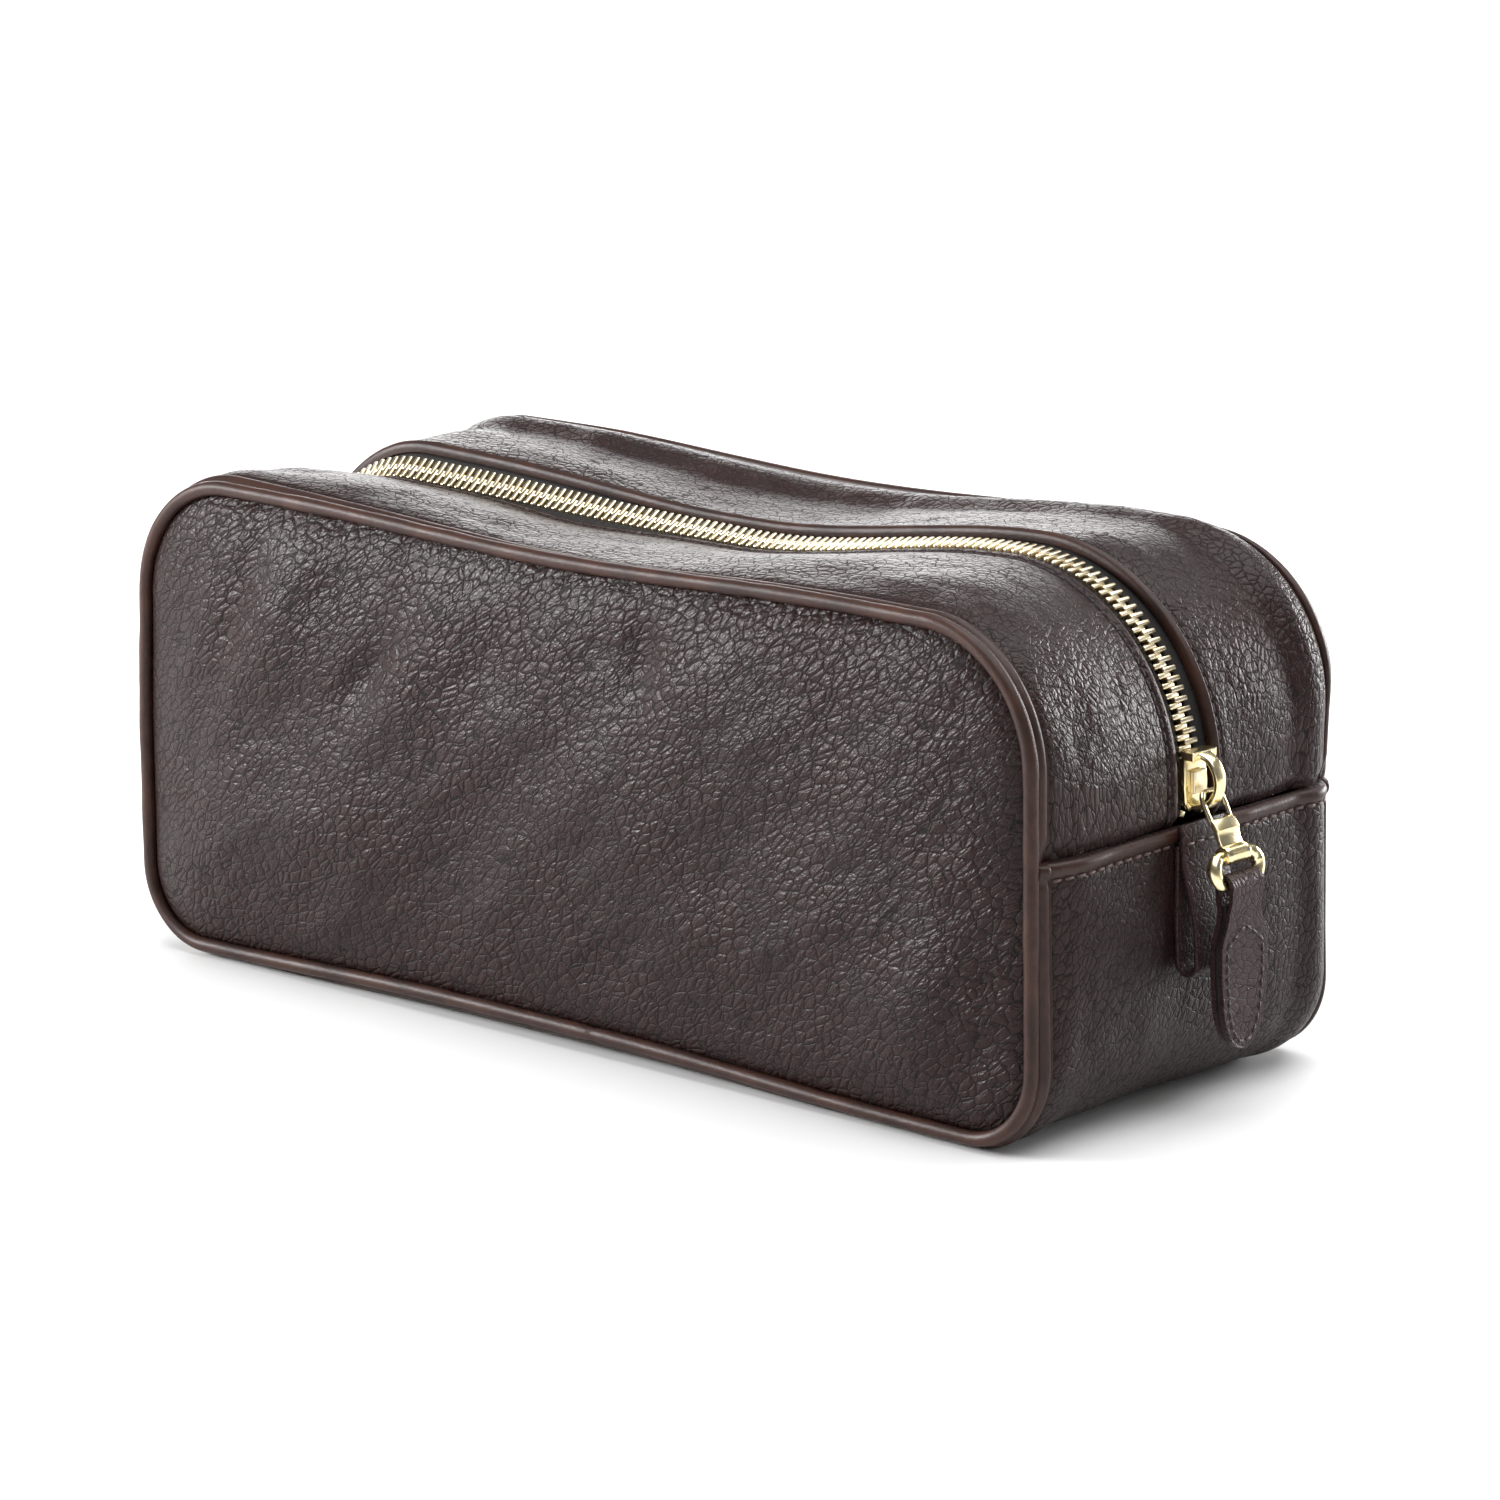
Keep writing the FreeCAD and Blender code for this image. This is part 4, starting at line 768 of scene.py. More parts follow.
def top_layer(name, nodes, wall, half, section, material, slot):
    """One layer of the top gusset, from the seam of an end to the middle of the bag."""
    stations, end = HALVES[half]
    rings = place(stations, wall * section[:, 0], section[:, 1], hidden_end(stations))
    uv = sheet_uv(stations, section[:, 0], section[:, 1])
    faces = swept_faces(rings)
    second = (ROLLED_LEATHER, smooth_faces(section, faces)) if material is STRIP_LEATHER else None
    piece = make_piece(name, rings, faces, material, slot, uv, second=second)
    hinge_blend(piece)
    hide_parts(*nodes)


def thin_section(outer, inner, height, thickness, steps):
    """The closed section of a thin flat layer between two distances from the zip."""
    over = [(depth, height + thickness / 2) for depth in np.linspace(outer, inner, steps)]
    under = [(depth, height - thickness / 2) for depth in np.linspace(inner, outer, steps)]
    return np.array(over + under)


def top_gusset():
    """Leather strips, zip tapes and linings of the top."""
    tape = thin_section(16.0, 2.5, -TAPE_DROP, 0.55, 9)
    lining = thin_section(GUSSET_DEPTH - 1.2, 12.0, -LINING_DROP, LINING, 24)
    for wall, side in ((-1, "front"), (1, "rear")):
        strip = strip_section(0.15 if wall < 0 else 0.75)
        layers = (
            ("strip", "top_gusset", "gusset", strip, STRIP_LEATHER, "bag_leather"),
            ("tape", "zip_tape", "zip_tape", tape, TAPE_CLOTH, "zip_tape"),
            ("top_lining", "lining", "lining", lining, LINING_CLOTH, "lining"),
        )
        for half in HALVES:
            for name, fixed, free, section, material, slot in layers:
                nodes = (f"{side}_{half}_{fixed}", f"{side}_flap_{free}")
                top_layer(f"{side}_{half}_{name}", nodes, wall, half, section, material, slot)


# ------------------------------------------------------------------------ bottom gusset

HEM_REACH = [0.0, 0.12, 0.5, 1.2, 2.1, 2.8, 3.3, 3.7, 4.2, 5.2, 7.0]
HEM_HEIGHT = [-1.0, -0.1, 0.75, 1.1, 1.0, 0.6, 0.1, -0.05, 0.12, 0.25, 0.2]
HEM_SMOOTH = 0.4  # the hem is bare leather where it stands higher than this
BASE_STATIONS = np.arange(STARTS["base_down"], STATIONS + 1)


def hem_lift(stations):
    """Height of the bottom gusset's folded ends, by their distance from the seam."""
    height = np.where(stations >= STATIONS, SEAM, ZIP_LINE[stations % STATIONS, 1])
    return np.interp(SEAM - height, HEM_REACH, HEM_HEIGHT)[:, None]


def base_profile():
    """(depth, height) points right across the bottom gusset, rolled at both edges."""
    edge = roll_profile()
    inner = edge[-1][0] - 1.2
    across = [(depth, 0.1) for depth in np.linspace(inner, -inner, 72)]
    return np.array(edge + across + [(-depth, height) for depth, height in edge[::-1]])


def bottom_gusset():
    """The strip along the base and up both ends, hemmed at the seams, and its lining."""
    over = base_profile()
    stations = BASE_STATIONS
    low = smooth((12.0 - ZIP_LINE[stations % STATIONS, 1]) / 8.0)[:, None]
    outer = place(stations, over[:, 0], over[:, 1], hem_lift(stations))
    inner = place(stations, over[:, 0], np.full(len(over), -LEATHER))
    outer[..., 2] = np.maximum(outer[..., 2], 0.02)
    inner[..., 2] = np.maximum(inner[..., 2], outer[..., 2] + LEATHER * low * 0.9)
    rings = np.concatenate([outer, inner[:, ::-1]], axis=1)
    girth = np.concatenate([over[:, 0], over[::-1, 0]])
    uv = uv_grid(ARC[np.minimum(stations, STATIONS - 1)], girth)
    faces = swept_faces(rings)
    section = np.concatenate([over, np.stack([over[::-1, 0], np.full(len(over), -LEATHER)], axis=1)])
    bare = smooth_faces(section, faces, folded=False)
    hemmed = hem_lift(stations)[:, 0] > HEM_SMOOTH
    for index in range(len(bare) - 2):
        row = index // len(section)
        bare[index] = bare[index] or bool(hemmed[row] or hemmed[row + 1])
    rigid_piece(
        "bottom_gusset_leather", "bottom_gusset", rings, faces, GUSSET_LEATHER, "bag_leather",
        uv=uv, second=(ROLLED_LEATHER, bare),
    )
    lining = thin_section(GUSSET_DEPTH - 1.5, -GUSSET_DEPTH + 1.5, -LINING_DROP, LINING, 40)
    inside = place(stations[3:-3], lining[:, 0], lining[:, 1])
    rigid_piece(
        "gusset_lining_cloth", "gusset_lining", inside, swept_faces(inside), LINING_CLOTH, "lining",
        uv=sheet_uv(stations[3:-3], lining[:, 0], lining[:, 1]),
    )


# --------------------------------------------------------------------- panels and piping

PANEL_INSET = 1.7  # piping line to the edge of a panel
PANEL_EDGE = PIPE_DEPTH - 0.5  # middle of the bag to the edge of a panel
PANEL_BULGE = 7.6  # how far the middle of a panel stands out from its edge


# Each fold: height, middle as (across, up), angle in degrees, half length and half width.
FRONT_FOLDS = (
    (-1.9, (-101, 90), 68, 26, 6.0),
    (1.2, (-86, 92), 62, 24, 8.0),
    (-2.3, (-58, 80), 50, 13, 5.0),
    (1.3, (-42, 84), 46, 20, 9.0),
    (-1.5, (27, 97), 88, 16, 5.0),
    (1.8, (-80, 40), 14, 36, 11.0),
    (-1.6, (-20, 50), 42, 50, 10.0),
    (1.4, (20, 72), 38, 46, 11.0),
    (-1.9, (70, 66), 40, 40, 11.0),
    (1.6, (112, 36), 72, 34, 11.0),
    (-0.8, (40, 22), 8, 50, 9.0),
)
BACK_FOLDS = (
    (-1.1, (20, 60), 60, 50, 10.0),
    (1.0, (-50, 45), 20, 55, 14.0),
    (0.9, (80, 80), 150, 40, 12.0),
)


def uneven(across, up, seed):
    """Gentle random waves, longer along the grain of the leather."""
    turned = across * 0.84 + up * 0.54
    aside = up * 0.84 - across * 0.54
    depth = 0.75 * value_noise(turned / 30.0, aside / 17.0, seed)
    depth += 0.30 * value_noise(turned / 12.0, aside / 6.0, seed + 1)
    return depth + 0.08 * value_noise(turned / 4.6, aside / 2.6, seed + 2)


def inward_rows(edge, height, shares):
    """Rows of points from a closed edge to a short middle line at a height."""
    core = np.stack([np.clip(edge[:, 0] * 0.62, -84, 82), np.full(len(edge), height)], axis=1)
    return mix(edge[None], core[None], shares[:, None, None])


def two_skins(name, node, outer, thickness, material, slot):
    """A sheet of the main body, from the rows of its outer face and its thickness inwards."""
    inner = outer.copy()
    inner[..., 1] -= thickness
    count, around = outer.shape[:2]
    faces = grid_faces(count, around, close_columns=True)
    faces += grid_faces(count, around, close_columns=True, first=count * around)
    for column in range(around):
        beside = (column + 1) % around
        faces.append((column, beside, count * around + beside, count * around + column))
    points = np.concatenate([outer.reshape(-1, 3), inner.reshape(-1, 3)])
    rigid_piece(name, node, points, faces, material, slot, uv=points[:, [0, 2]] * MM)


def folded(across, up, folds, seed):
    """The soft dents and swells of a panel, in millimetres."""
    depth = sum(height * ridge(across, up, *fold) for height, *fold in folds)
    return depth + uneven(across, up, seed)


def panel(name, node, wall, folds, seed):
    """A padded leather panel, as nested outlines from the piping to its middle line."""
    edge = WALL_LINE[wall] - PIPE_NORMAL * PANEL_INSET
    middle_height = (PIPE_TOP + PIPE_BOTTOM) / 2
    flat = inward_rows(edge, middle_height, np.linspace(0, 1, 84) ** 1.35)
    across, up = flat[..., 0], flat[..., 1]
    inward = np.linalg.norm(flat - edge[None], axis=2)
    shape = 0.50 * (1 - np.exp(-inward / 5.5)) + 0.50 * (1 - np.exp(-((inward / 26.0) ** 2)))
    relief = folded(across, up, folds, seed) * smooth((inward - 1.0) / 13.0)
    out = PANEL_EDGE + PANEL_BULGE * shape + relief
    outer = np.stack([across, wall * out, up], axis=-1)
    two_skins(name, node, outer, wall * LEATHER, PANEL_LEATHER, "bag_leather")


def tube_round_bag(name, node, wall, radius, material, slot, uneven_by=0.0, gap=None):
    """A round tube that follows the piping line; gap is where its two ends meet."""
    line, normal = WALL_LINE[wall], PIPE_NORMAL
    angles = np.linspace(0, 2 * math.pi, 20, endpoint=False)
    count = np.arange(STATIONS)
    wobble = 1 + uneven_by * value_noise(count / 5.0, np.zeros(STATIONS), 31)
    if gap is not None:
        line, normal = np.roll(line, -gap, axis=0), np.roll(normal, -gap, axis=0)
        wobble *= 1 - 0.16 * np.exp(-((np.minimum(count, STATIONS - count) / 1.2) ** 2))
    reach = (radius * wobble)[:, None]
    flat = line[:, None, :] + normal[:, None, :] * (np.cos(angles)[None, :, None] * reach[..., None])
    sideways = wall * (PIPE_DEPTH + np.sin(angles)[None, :] * reach)
    rings = np.stack([flat[..., 0], sideways, flat[..., 1]], axis=-1)
    uv = uv_grid(run_along(line), radius * angles)
    rigid_piece(name, node, rings, swept_faces(rings, closed=True), material, slot, uv=uv)


def flat_band(name, node, wall, depths, insets, material, slot):
    """A thin layer behind a panel, between two insets from the piping line."""
    rings = []
    for row, column in ((0, 0), (0, 1), (1, 1), (1, 0)):
        depth = depths[row]
        flat = WALL_LINE[wall] - PIPE_NORMAL * insets[column]
        rings.append(np.stack([flat[:, 0], np.full(len(flat), wall * depth), flat[:, 1]], axis=-1))
    rings = np.stack(rings, axis=1)
    uv = rings.reshape(-1, 3)[:, [0, 2]] * MM
    rigid_piece(name, node, rings, swept_faces(rings, closed=True), material, slot, uv=uv)


def lining_panel(name, node, wall):
    """The lining behind a panel, gently pillowed."""
    edge = WALL_LINE[wall] - PIPE_NORMAL * 3.6
    steps = np.linspace(0, 1, 30)
    flat = inward_rows(edge, 58.0, steps)
    ripple = 0.35 * value_noise(flat[..., 0] / 21.0, flat[..., 1] / 15.0, 41)
    ripple *= smooth(steps / 0.2)[:, None]
    outer = np.stack([flat[..., 0], wall * (GUSSET_DEPTH - 0.15 + ripple), flat[..., 1]], axis=-1)
    two_skins(name, node, outer, wall * LINING, LINING_CLOTH, "lining")


def panels_and_piping():
    """Both panels with their piping, cord, seam binding and lining."""
    panel("front_panel_leather", "front_panel", -1, FRONT_FOLDS, 11)
    panel("back_panel_leather", "back_panel", 1, BACK_FOLDS, 23)
    join = STARTS["base"] + int(np.argmin(np.abs(PIPE_LINE[STARTS["base"]:STARTS["low_near"], 0] - 7.0)))
    for wall, side in ((-1, "front"), (1, "rear")):
        tube_round_bag(
            f"{side}_piping_skin", f"{side}_piping", wall, PIPE_RADIUS, PIPING_LEATHER, "piping_leather",
            uneven_by=0.05, gap=join,
        )
        tube_round_bag(f"{side}_cord_core", f"{side}_piping_cord", wall, 0.95, CORD_CLOTH, "piping_cord")
        flat_band(
            f"{side}_binding_band", f"{side}_seam_binding", wall,
            (GUSSET_DEPTH + 0.3, PIPE_DEPTH - 0.8), (2.4, 9.0), BINDING_LEATHER, "seam_binding",
        )
        lining_panel(f"{side}_lining_cloth", f"{side}_lining_panel", wall)


# ----------------------------------------------------------------------------- stitches

STITCH_PITCH, STITCH_LENGTH = 3.0, 2.3


def stitch_pattern(radius):
    """One thread stitch, a slim capsule along its first axis."""
    marks = np.array([-0.5, -0.46, -0.34, 0.0, 0.34, 0.46, 0.5]) * STITCH_LENGTH
    swell = np.array([0.35, 0.75, 0.95, 1.0, 0.95, 0.75, 0.35]) * radius
    rise = np.array([-0.22, -0.08, 0.05, 0.1, 0.05, -0.08, -0.22])
    angles = np.linspace(0, 2 * math.pi, 8, endpoint=False)
    rings = np.stack([
        np.stack([np.full(8, mark), wide * np.cos(angles), lift + wide * np.sin(angles)], axis=1)
        for mark, wide, lift in zip(marks, swell, rise)
    ])
    return rings.reshape(-1, 3), swept_faces(rings)


def stitches(name, path, normals, material, pitch=STITCH_PITCH, closed=False, radius=0.33):
    """A row of stitches along a path of points, laid on a surface with these normals."""
    if closed:
        path, normals = np.vstack([path, path[:1]]), np.vstack([normals, normals[:1]])
    run = run_along(path)
    count = max(int(round(run[-1] / pitch)), 1)
    middles = (np.arange(count) + 0.5) * run[-1] / count
    places = between(path, run, middles)
    along = unit(between(path, run, middles + 0.4) - between(path, run, middles - 0.4))
    up = between(normals, run, middles)
    up = unit(up - along * np.sum(up * along, axis=1, keepdims=True))
    axes = np.stack([along, np.cross(up, along), up], axis=1)
    pattern, faces = stitch_pattern(radius)
    points, every = copies(pattern, faces, places, axes)
    return make_piece(name, points, every, material)


def zip_stitches():
    """The stitch rows beside the folded zip edges."""
    depth = ZIP_EDGE + STITCH_INSET
    for wall, side in ((-1, "front"), (1, "rear")):
        for half, (stations, end) in HALVES.items():
            stations = stations[7:] if half == "right" else stations[:-8]
            path = place(stations, np.array([wall * depth]), np.array([-0.12]))[:, 0]
            flat = ZIP_NORMAL[stations % STATIONS]
            normals = np.stack([flat[:, 0], np.zeros(len(flat)), flat[:, 1]], axis=1)
            row = stitches(f"{side}_{half}_zip_stitches", path, normals, DARK_THREAD)
            hinge_blend(row)


def seam_stitches():
    """The stitch rows under the hem of the bottom gusset at both ends."""
    depths = np.linspace(STRIP_EDGE - ROLL_WIDTH - 0.6, 8.4, 40)
    for end, end_name in ((1, "right"), (-1, "left")):
        stretch = BASE_STATIONS[-20:-1] if end > 0 else BASE_STATIONS[:20]
        reach = np.abs(SEAM - ZIP_LINE[stretch % STATIONS, 1] - 3.7)
        station = stretch[int(np.argmin(reach))]
        for wall, side in ((-1, "front"), (1, "rear")):
            path = place([station], wall * depths, np.full(len(depths), 0.12))[0]
            normals = np.tile([end, 0.0, 0.0], (len(path), 1))
            row = stitches(f"{side}_{end_name}_seam_stitches", path, normals, BROWN_THREAD, 3.3, radius=0.42)
            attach(row, "bag_body")


# ---------------------------------------------------------------------------- zip chain

TOOTH_PITCH = 2.3
CHAIN_START = 76.5  # height where the closed chain meets the slider
CHAIN_END = 6.0  # length of tape past the last tooth


def zip_path():
    """Distances and stations along the chain, with the distance where the slider ends."""
    stations = np.arange(0, STARTS["base_down"] + 1)
    middle = place(stations, np.array([0.0]), np.array([-TAPE_DROP]))[:, 0]
    run = run_along(middle)
    return run, stations, float(np.interp(CHAIN_START, middle[:30, 2], run[:30]))


def teeth():
    """Both rows of teeth, each in a right and a left half."""
    run, stations, start = zip_path()
    root, reach, width, thick = 3.3, 0.85, 1.2, 2.7  # away from the middle, past it, along, through
    pattern, faces = rounded_block((width, root + reach, thick), 0.45)
    pattern = pattern + np.array([0, (root - reach) / 2, 0])
    hook = np.clip(-pattern[:, 1] / reach, 0, 1)
    pattern[:, 2] *= 1 - 0.12 * hook
    stop = run[-1] - CHAIN_END
    marks = place(stations, np.array([0.0, 1.0]), np.array([-TAPE_DROP, -TAPE_DROP]))
    raised = place(stations, np.array([0.0]), np.array([0.0]))[:, 0]
    for wall, side in ((-1, "front"), (1, "rear")):
        first = start + (0.5 if wall < 0 else 1.0) * TOOTH_PITCH
        places = np.arange(first, stop, TOOTH_PITCH)
        origin = between(marks[:, 0], run, places)
        sideways = wall * unit(between(marks[:, 1], run, places) - origin)
        up = between(raised, run, places) - origin
        up = unit(up - sideways * np.sum(up * sideways, axis=1, keepdims=True))
        axes = np.stack([np.cross(sideways, up), sideways, up], axis=1)
        for half, end in (("right", 1), ("left", -1)):
            chosen = origin[:, 0] * end > 0
            made, every = copies(pattern, faces, origin[chosen], axes[chosen])
            row = make_piece(f"{side}_{half}_tooth_row", made, every, TOOTH_GOLD, "zip_teeth")
            hinge_blend(row)
            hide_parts(f"{side}_{half}_teeth", f"{side}_flap_teeth")


def stops():
    """The top stops beside the slider and the bottom stop at the far end."""
    tape_x = GUSSET_HALF - TAPE_DROP
    block, faces = rounded_block((2.6, 1.5, 1.5), 0.35)
    slant = math.radians(24)
    places, axes = [], []
    for wall in (-1, 1):
        for height, out in ((70.6, 2.4), (68.2, 3.3)):
            places.append((tape_x + 0.2, wall * out, height))
            up, aside = math.cos(slant), wall * math.sin(slant)
            axes.append([(1, 0, 0), (0, up, aside), (0, -aside, up)])
    points, every = copies(block, faces, np.array(places), np.array(axes, float))
    rigid_piece("chain_top_stops", "zip_top_stops", points, every, TOOTH_GOLD, "gold_hardware")
    block, faces = rounded_block((3.0, 6.8, 2.6), 0.5)
    block += np.array([-tape_x, 0, 70.0])
    rigid_piece("chain_bottom_stop", "zip_bottom_stop", block, faces, TOOTH_GOLD, "gold_hardware")


# -------------------------------------------------------------------- slider and its pull

ARC_CENTRE = np.array([GUSSET_HALF - CORNER_RIGHT, 0.0, ZIP_TOP_RIGHT - CORNER_RIGHT])
ARC_RADIUS = CORNER_RIGHT - 2.0
SLIDER_HALF, SLIDER_LOW, SLIDER_HIGH = 4.1, -4.9, 7.9  # half width, and its ends along the zip
PIVOT = np.array([143.2, 0.0, 73.6])
LINK_TILT, RING_TILT = 27.8, 16.0
LINK_LENGTH, RING_DROP = 14.6, 6.4


def on_slider(along, across, out):
    """A place on the curved slider: up the zip, sideways, and out from the tape."""
    angle = along / ARC_RADIUS
    reach = ARC_RADIUS + out
    x = ARC_CENTRE[0] + reach * np.cos(angle)
    z = ARC_CENTRE[2] + reach * np.sin(angle)
    return np.stack([x, across + np.zeros_like(x), z], axis=-1)


def slider_plate(widths, outs, bevel):
    """Rings of a curved plate whose half width and bevel follow its length."""
    count = 22
    marks = np.linspace(SLIDER_LOW, SLIDER_HIGH, count)
    half = np.interp(np.linspace(0, 1, count), *widths)
    rings = []
    for index, (mark, wide) in enumerate(zip(marks, half)):
        edge = min(index, count - 1 - index)
        soft = bevel * (1 - min(edge / 2.0, 1.0))
        section = round_section(2 * (wide - soft * 0.6), outs[1] - outs[0] - soft, bevel * 0.9, 3)
        middle = (outs[0] + outs[1]) / 2
        rings.append(on_slider(np.full(len(section), mark), section[:, 0], middle + section[:, 1]))
    return np.stack(rings)


def joined(parts):
    """Points and faces of several swept shapes as one mesh."""
    points, faces = [], []
    for rings, shape in parts:
        start = sum(len(run) for run in points)
        points.append(rings.reshape(-1, 3))
        faces += [tuple(start + index for index in face) for face in shape]
    return np.concatenate(points), faces


def slider():
    """The slider: two plates with side flanges and a wedge, a raised block and the bridge."""
    shares, widths = [0, 0.12, 0.4, 0.75, 1.0], [2.7, 3.5, 4.0, 3.7, 3.2]
    upper = slider_plate((shares, widths), (1.55, 2.7), 0.45)
    lower = slider_plate((shares, widths), (-2.7, -1.6), 0.4)
    shapes = [(upper, swept_faces(upper)), (lower, swept_faces(lower))]
    for wall in (-1, 1):
        for low, high in ((0.75, 1.9), (-1.9, -0.75)):
            marks = np.linspace(-2.6, 6.4, 14)
            half = np.interp(np.linspace(0.1, 0.9, 14), shares, widths)
            section = round_section(0.7, high - low, 0.18, 2)
            out = (low + high) / 2 + section[:, 1]
            rings = np.stack([
                on_slider(np.full(len(section), mark), wall * (wide - 0.35) + section[:, 0], out)
                for mark, wide in zip(marks, half)
            ])
            shapes.append((rings, swept_faces(rings)))
    post = round_section(2.2, 2.2, 0.5, 3)
    levels = [np.full(len(post), out) for out in (-1.9, 0.0, 1.9)]
    rings = np.stack([on_slider(post[:, 1] - 1.6, post[:, 0], level) for level in levels])
    shapes.append((rings, swept_faces(rings)))
    rigid_piece("slider_shell", "slider_body", *joined(shapes), GOLD, "gold_hardware", "slider", sharp=35)
    block, faces = rounded_block((1.3, 4.3, 5.2), 0.45)
    block += np.array([140.3, 0, 75.4])
    rigid_piece("slider_block", "slider_body", block, faces, TOOTH_GOLD, "gold_hardware", "slider")
    bridge()


def bridge():
    """The loop over the slider that carries the link, widening to the cap at its top."""
    points = [
        (139.4, 81.3), (141.6, 81.55), (144.4, 80.0), (146.0, 77.0), (145.9, 73.9),
        (144.2, 71.1), (141.6, 69.8), (139.3, 69.6),
    ]
    path = spline(points, 7)
    path = np.stack([path[:, 0], np.zeros(len(path)), path[:, 1]], axis=1)
    share = np.linspace(0, 1, len(path))
    wide = np.interp(share, [0, 0.1, 0.24, 0.5, 0.8, 1.0], [2.3, 1.7, 1.1, 1.0, 1.05, 1.3])
    thin = np.interp(share, [0, 0.15, 0.5, 1.0], [1.15, 1.0, 1.0, 1.1])
    loop = sweep(path, (0, 1, 0), round_section(3.0, 1.35, 0.42, 3), np.stack([wide, thin], axis=1))
    cap, cap_faces = rounded_block((3.5, 2 * SLIDER_HALF, 2.0), 0.42)
    cap += np.array([140.3, 0, 81.4])
    shapes = [(loop, swept_faces(loop)), (cap, cap_faces)]
    rigid_piece("slider_loop", "slider_bridge", *joined(shapes), GOLD, "gold_hardware", "slider", sharp=35)


def hung(points, origin, tilt):
    """Local (out, across, down) points turned to hang at a tilt from an origin."""
    angle = math.radians(tilt)
    out, across, down = np.moveaxis(np.asarray(points, float), -1, 0)
    x = out * math.cos(angle) + down * math.sin(angle)
    z = out * math.sin(angle) - down * math.cos(angle)
    return np.stack([x, across, z], axis=-1) + origin


LINK_END = hung((0, 0, LINK_LENGTH), PIVOT, LINK_TILT)
RING_BAR = hung((0, 0, RING_DROP), LINK_END, RING_TILT)


def link():
    """The link: a wire yoke through the bridge, a faceted plate and a knurled barrel."""
    shapes = []
    half = 3.45
    bends = [(half - 0.2, 7.4), (half, 3.4), (half - 0.25, 1.2), (half - 1.3, 0.1), (0, -0.15)]
    yoke = spline([(0, across, down) for across, down in bends], 6)
    mirrored = yoke[::-1][1:] * np.array([1, -1, 1])
    path = np.vstack([yoke, mirrored])
    wire = sweep(path, (1, 0, 0), round_section(1.15, 1.05, 0.5, 3))
    shapes.append((hung(wire, PIVOT, LINK_TILT), swept_faces(wire)))
    marks = np.array([6.4, 6.65, 7.6, 9.2, 9.5, 11.2, 12.6, 12.9])
    outs = np.array([0.15, 0.3, 0.55, 0.75, 0.62, 0.25, 0.3, 0.2])
    wide = np.array([3.55, 3.75, 3.75, 3.7, 3.7, 3.5, 3.5, 3.35])
    thick = np.array([0.7, 1.1, 1.3, 1.5, 1.45, 1.2, 1.2, 0.8])
    rings = []
    for mark, out, reach, deep in zip(marks, outs, wide, thick):
        section = round_section(2 * reach, deep, 0.3, 2)
        rings.append(np.stack([out + section[:, 1], section[:, 0], np.full(len(section), mark)], axis=1))
    plate = np.stack(rings)
    shapes.append((hung(plate, PIVOT, LINK_TILT), swept_faces(plate)))
    angles = np.linspace(0, 2 * math.pi, 28, endpoint=False)
    rows = np.array([-4.0, -3.85, -3.3, -3.1, -2.9, -2.7, -2.5, 2.5, 2.7, 2.9, 3.1, 3.3, 3.85, 4.0])
    radii = np.array([1.7, 2.05, 2.1, 1.95, 2.12, 1.95, 2.12, 2.12, 1.95, 2.12, 1.95, 2.1, 2.05, 1.7])
    barrel = np.stack([
        np.stack([radius * np.cos(angles), np.full(28, row), radius * np.sin(angles)], axis=1)
        for row, radius in zip(rows, radii)
    ])
    shapes.append((barrel + LINK_END, swept_faces(barrel)))
    rigid_piece("link_plate", "pull_link", *joined(shapes), GOLD, "gold_hardware", "pull_link", sharp=28)


def ring():
    """The ring: stout horns beside the barrel that thin towards the bar in the strap."""
    half = 7.35
    side = [
        (0.0, 0.0), (3.8, 0.0), (5.6, 0.35), (6.9, 1.5), (half, 3.1), (7.1, 4.6), (6.3, 5.9),
        (5.0, RING_DROP), (2.5, RING_DROP), (0.0, RING_DROP),
    ]
    right = spline([(0, across, down) for across, down in side], 7)
    left = right[::-1][1:-1] * np.array([1, -1, 1])
    path = np.vstack([right, left])
    thickness = np.interp(path[:, 2], [0.0, 0.6, 2.4, 4.6, RING_DROP], [1.25, 1.6, 1.75, 1.5, 1.15])
    tangent = unit(np.roll(path, -1, axis=0) - np.roll(path, 1, axis=0))
    outward = np.array([0.92, 0, 0])
    inward = unit(np.cross(tangent, outward))
    angles = np.linspace(0, 2 * math.pi, 18, endpoint=False)[None, :, None]
    around = np.cos(angles) * outward + np.sin(angles) * inward[:, None, :]
    rings = path[:, None, :] + thickness[:, None, None] * around
    rings = hung(rings, LINK_END, RING_TILT)
    faces = swept_faces(rings, closed=True)
    rigid_piece("ring_wire", "pull_ring", rings, faces, GOLD, "gold_hardware", "pull_ring")


PULL_TIP = RING_BAR[2] - strap_low[2]
NECK_HALF, LEAF_HALF = 5.3, 7.9
PULL_LAYER, PULL_GAP = 1.2, 0.95
LEAF_TOP, LEAF_BORDER = 9.6, 1.9
LEAF_COLUMNS = 61
HANGING = np.array([1.0, 1.0, -1.0])  # turns distances below the ring's bar into heights


def leaf_half(down):
    """Half width of the pull at a distance below the ring's bar."""
    marks = [-3.0, 3.0, 6.0, 8.0, 10.5, 13.0, 20.0, 26.0]
    halves = [NECK_HALF, NECK_HALF, NECK_HALF + 0.05, NECK_HALF + 0.4, 7.0, LEAF_HALF, LEAF_HALF, 7.3]
    fine = np.linspace(marks[0], marks[-1], 120)
    curve = np.interp(fine, marks, halves)
    curve = np.convolve(np.pad(curve, 5, mode="edge"), np.full(11, 1 / 11), mode="valid")
    body = np.interp(down, fine, curve)
    share = np.clip((down - 24.0) / (PULL_TIP - 24.0), 0, 1)
    tip = curve[-10] * np.sqrt(np.clip(1 - share**1.9, 0, 1))
    return np.where(down > 24.0, np.minimum(body, tip), body)


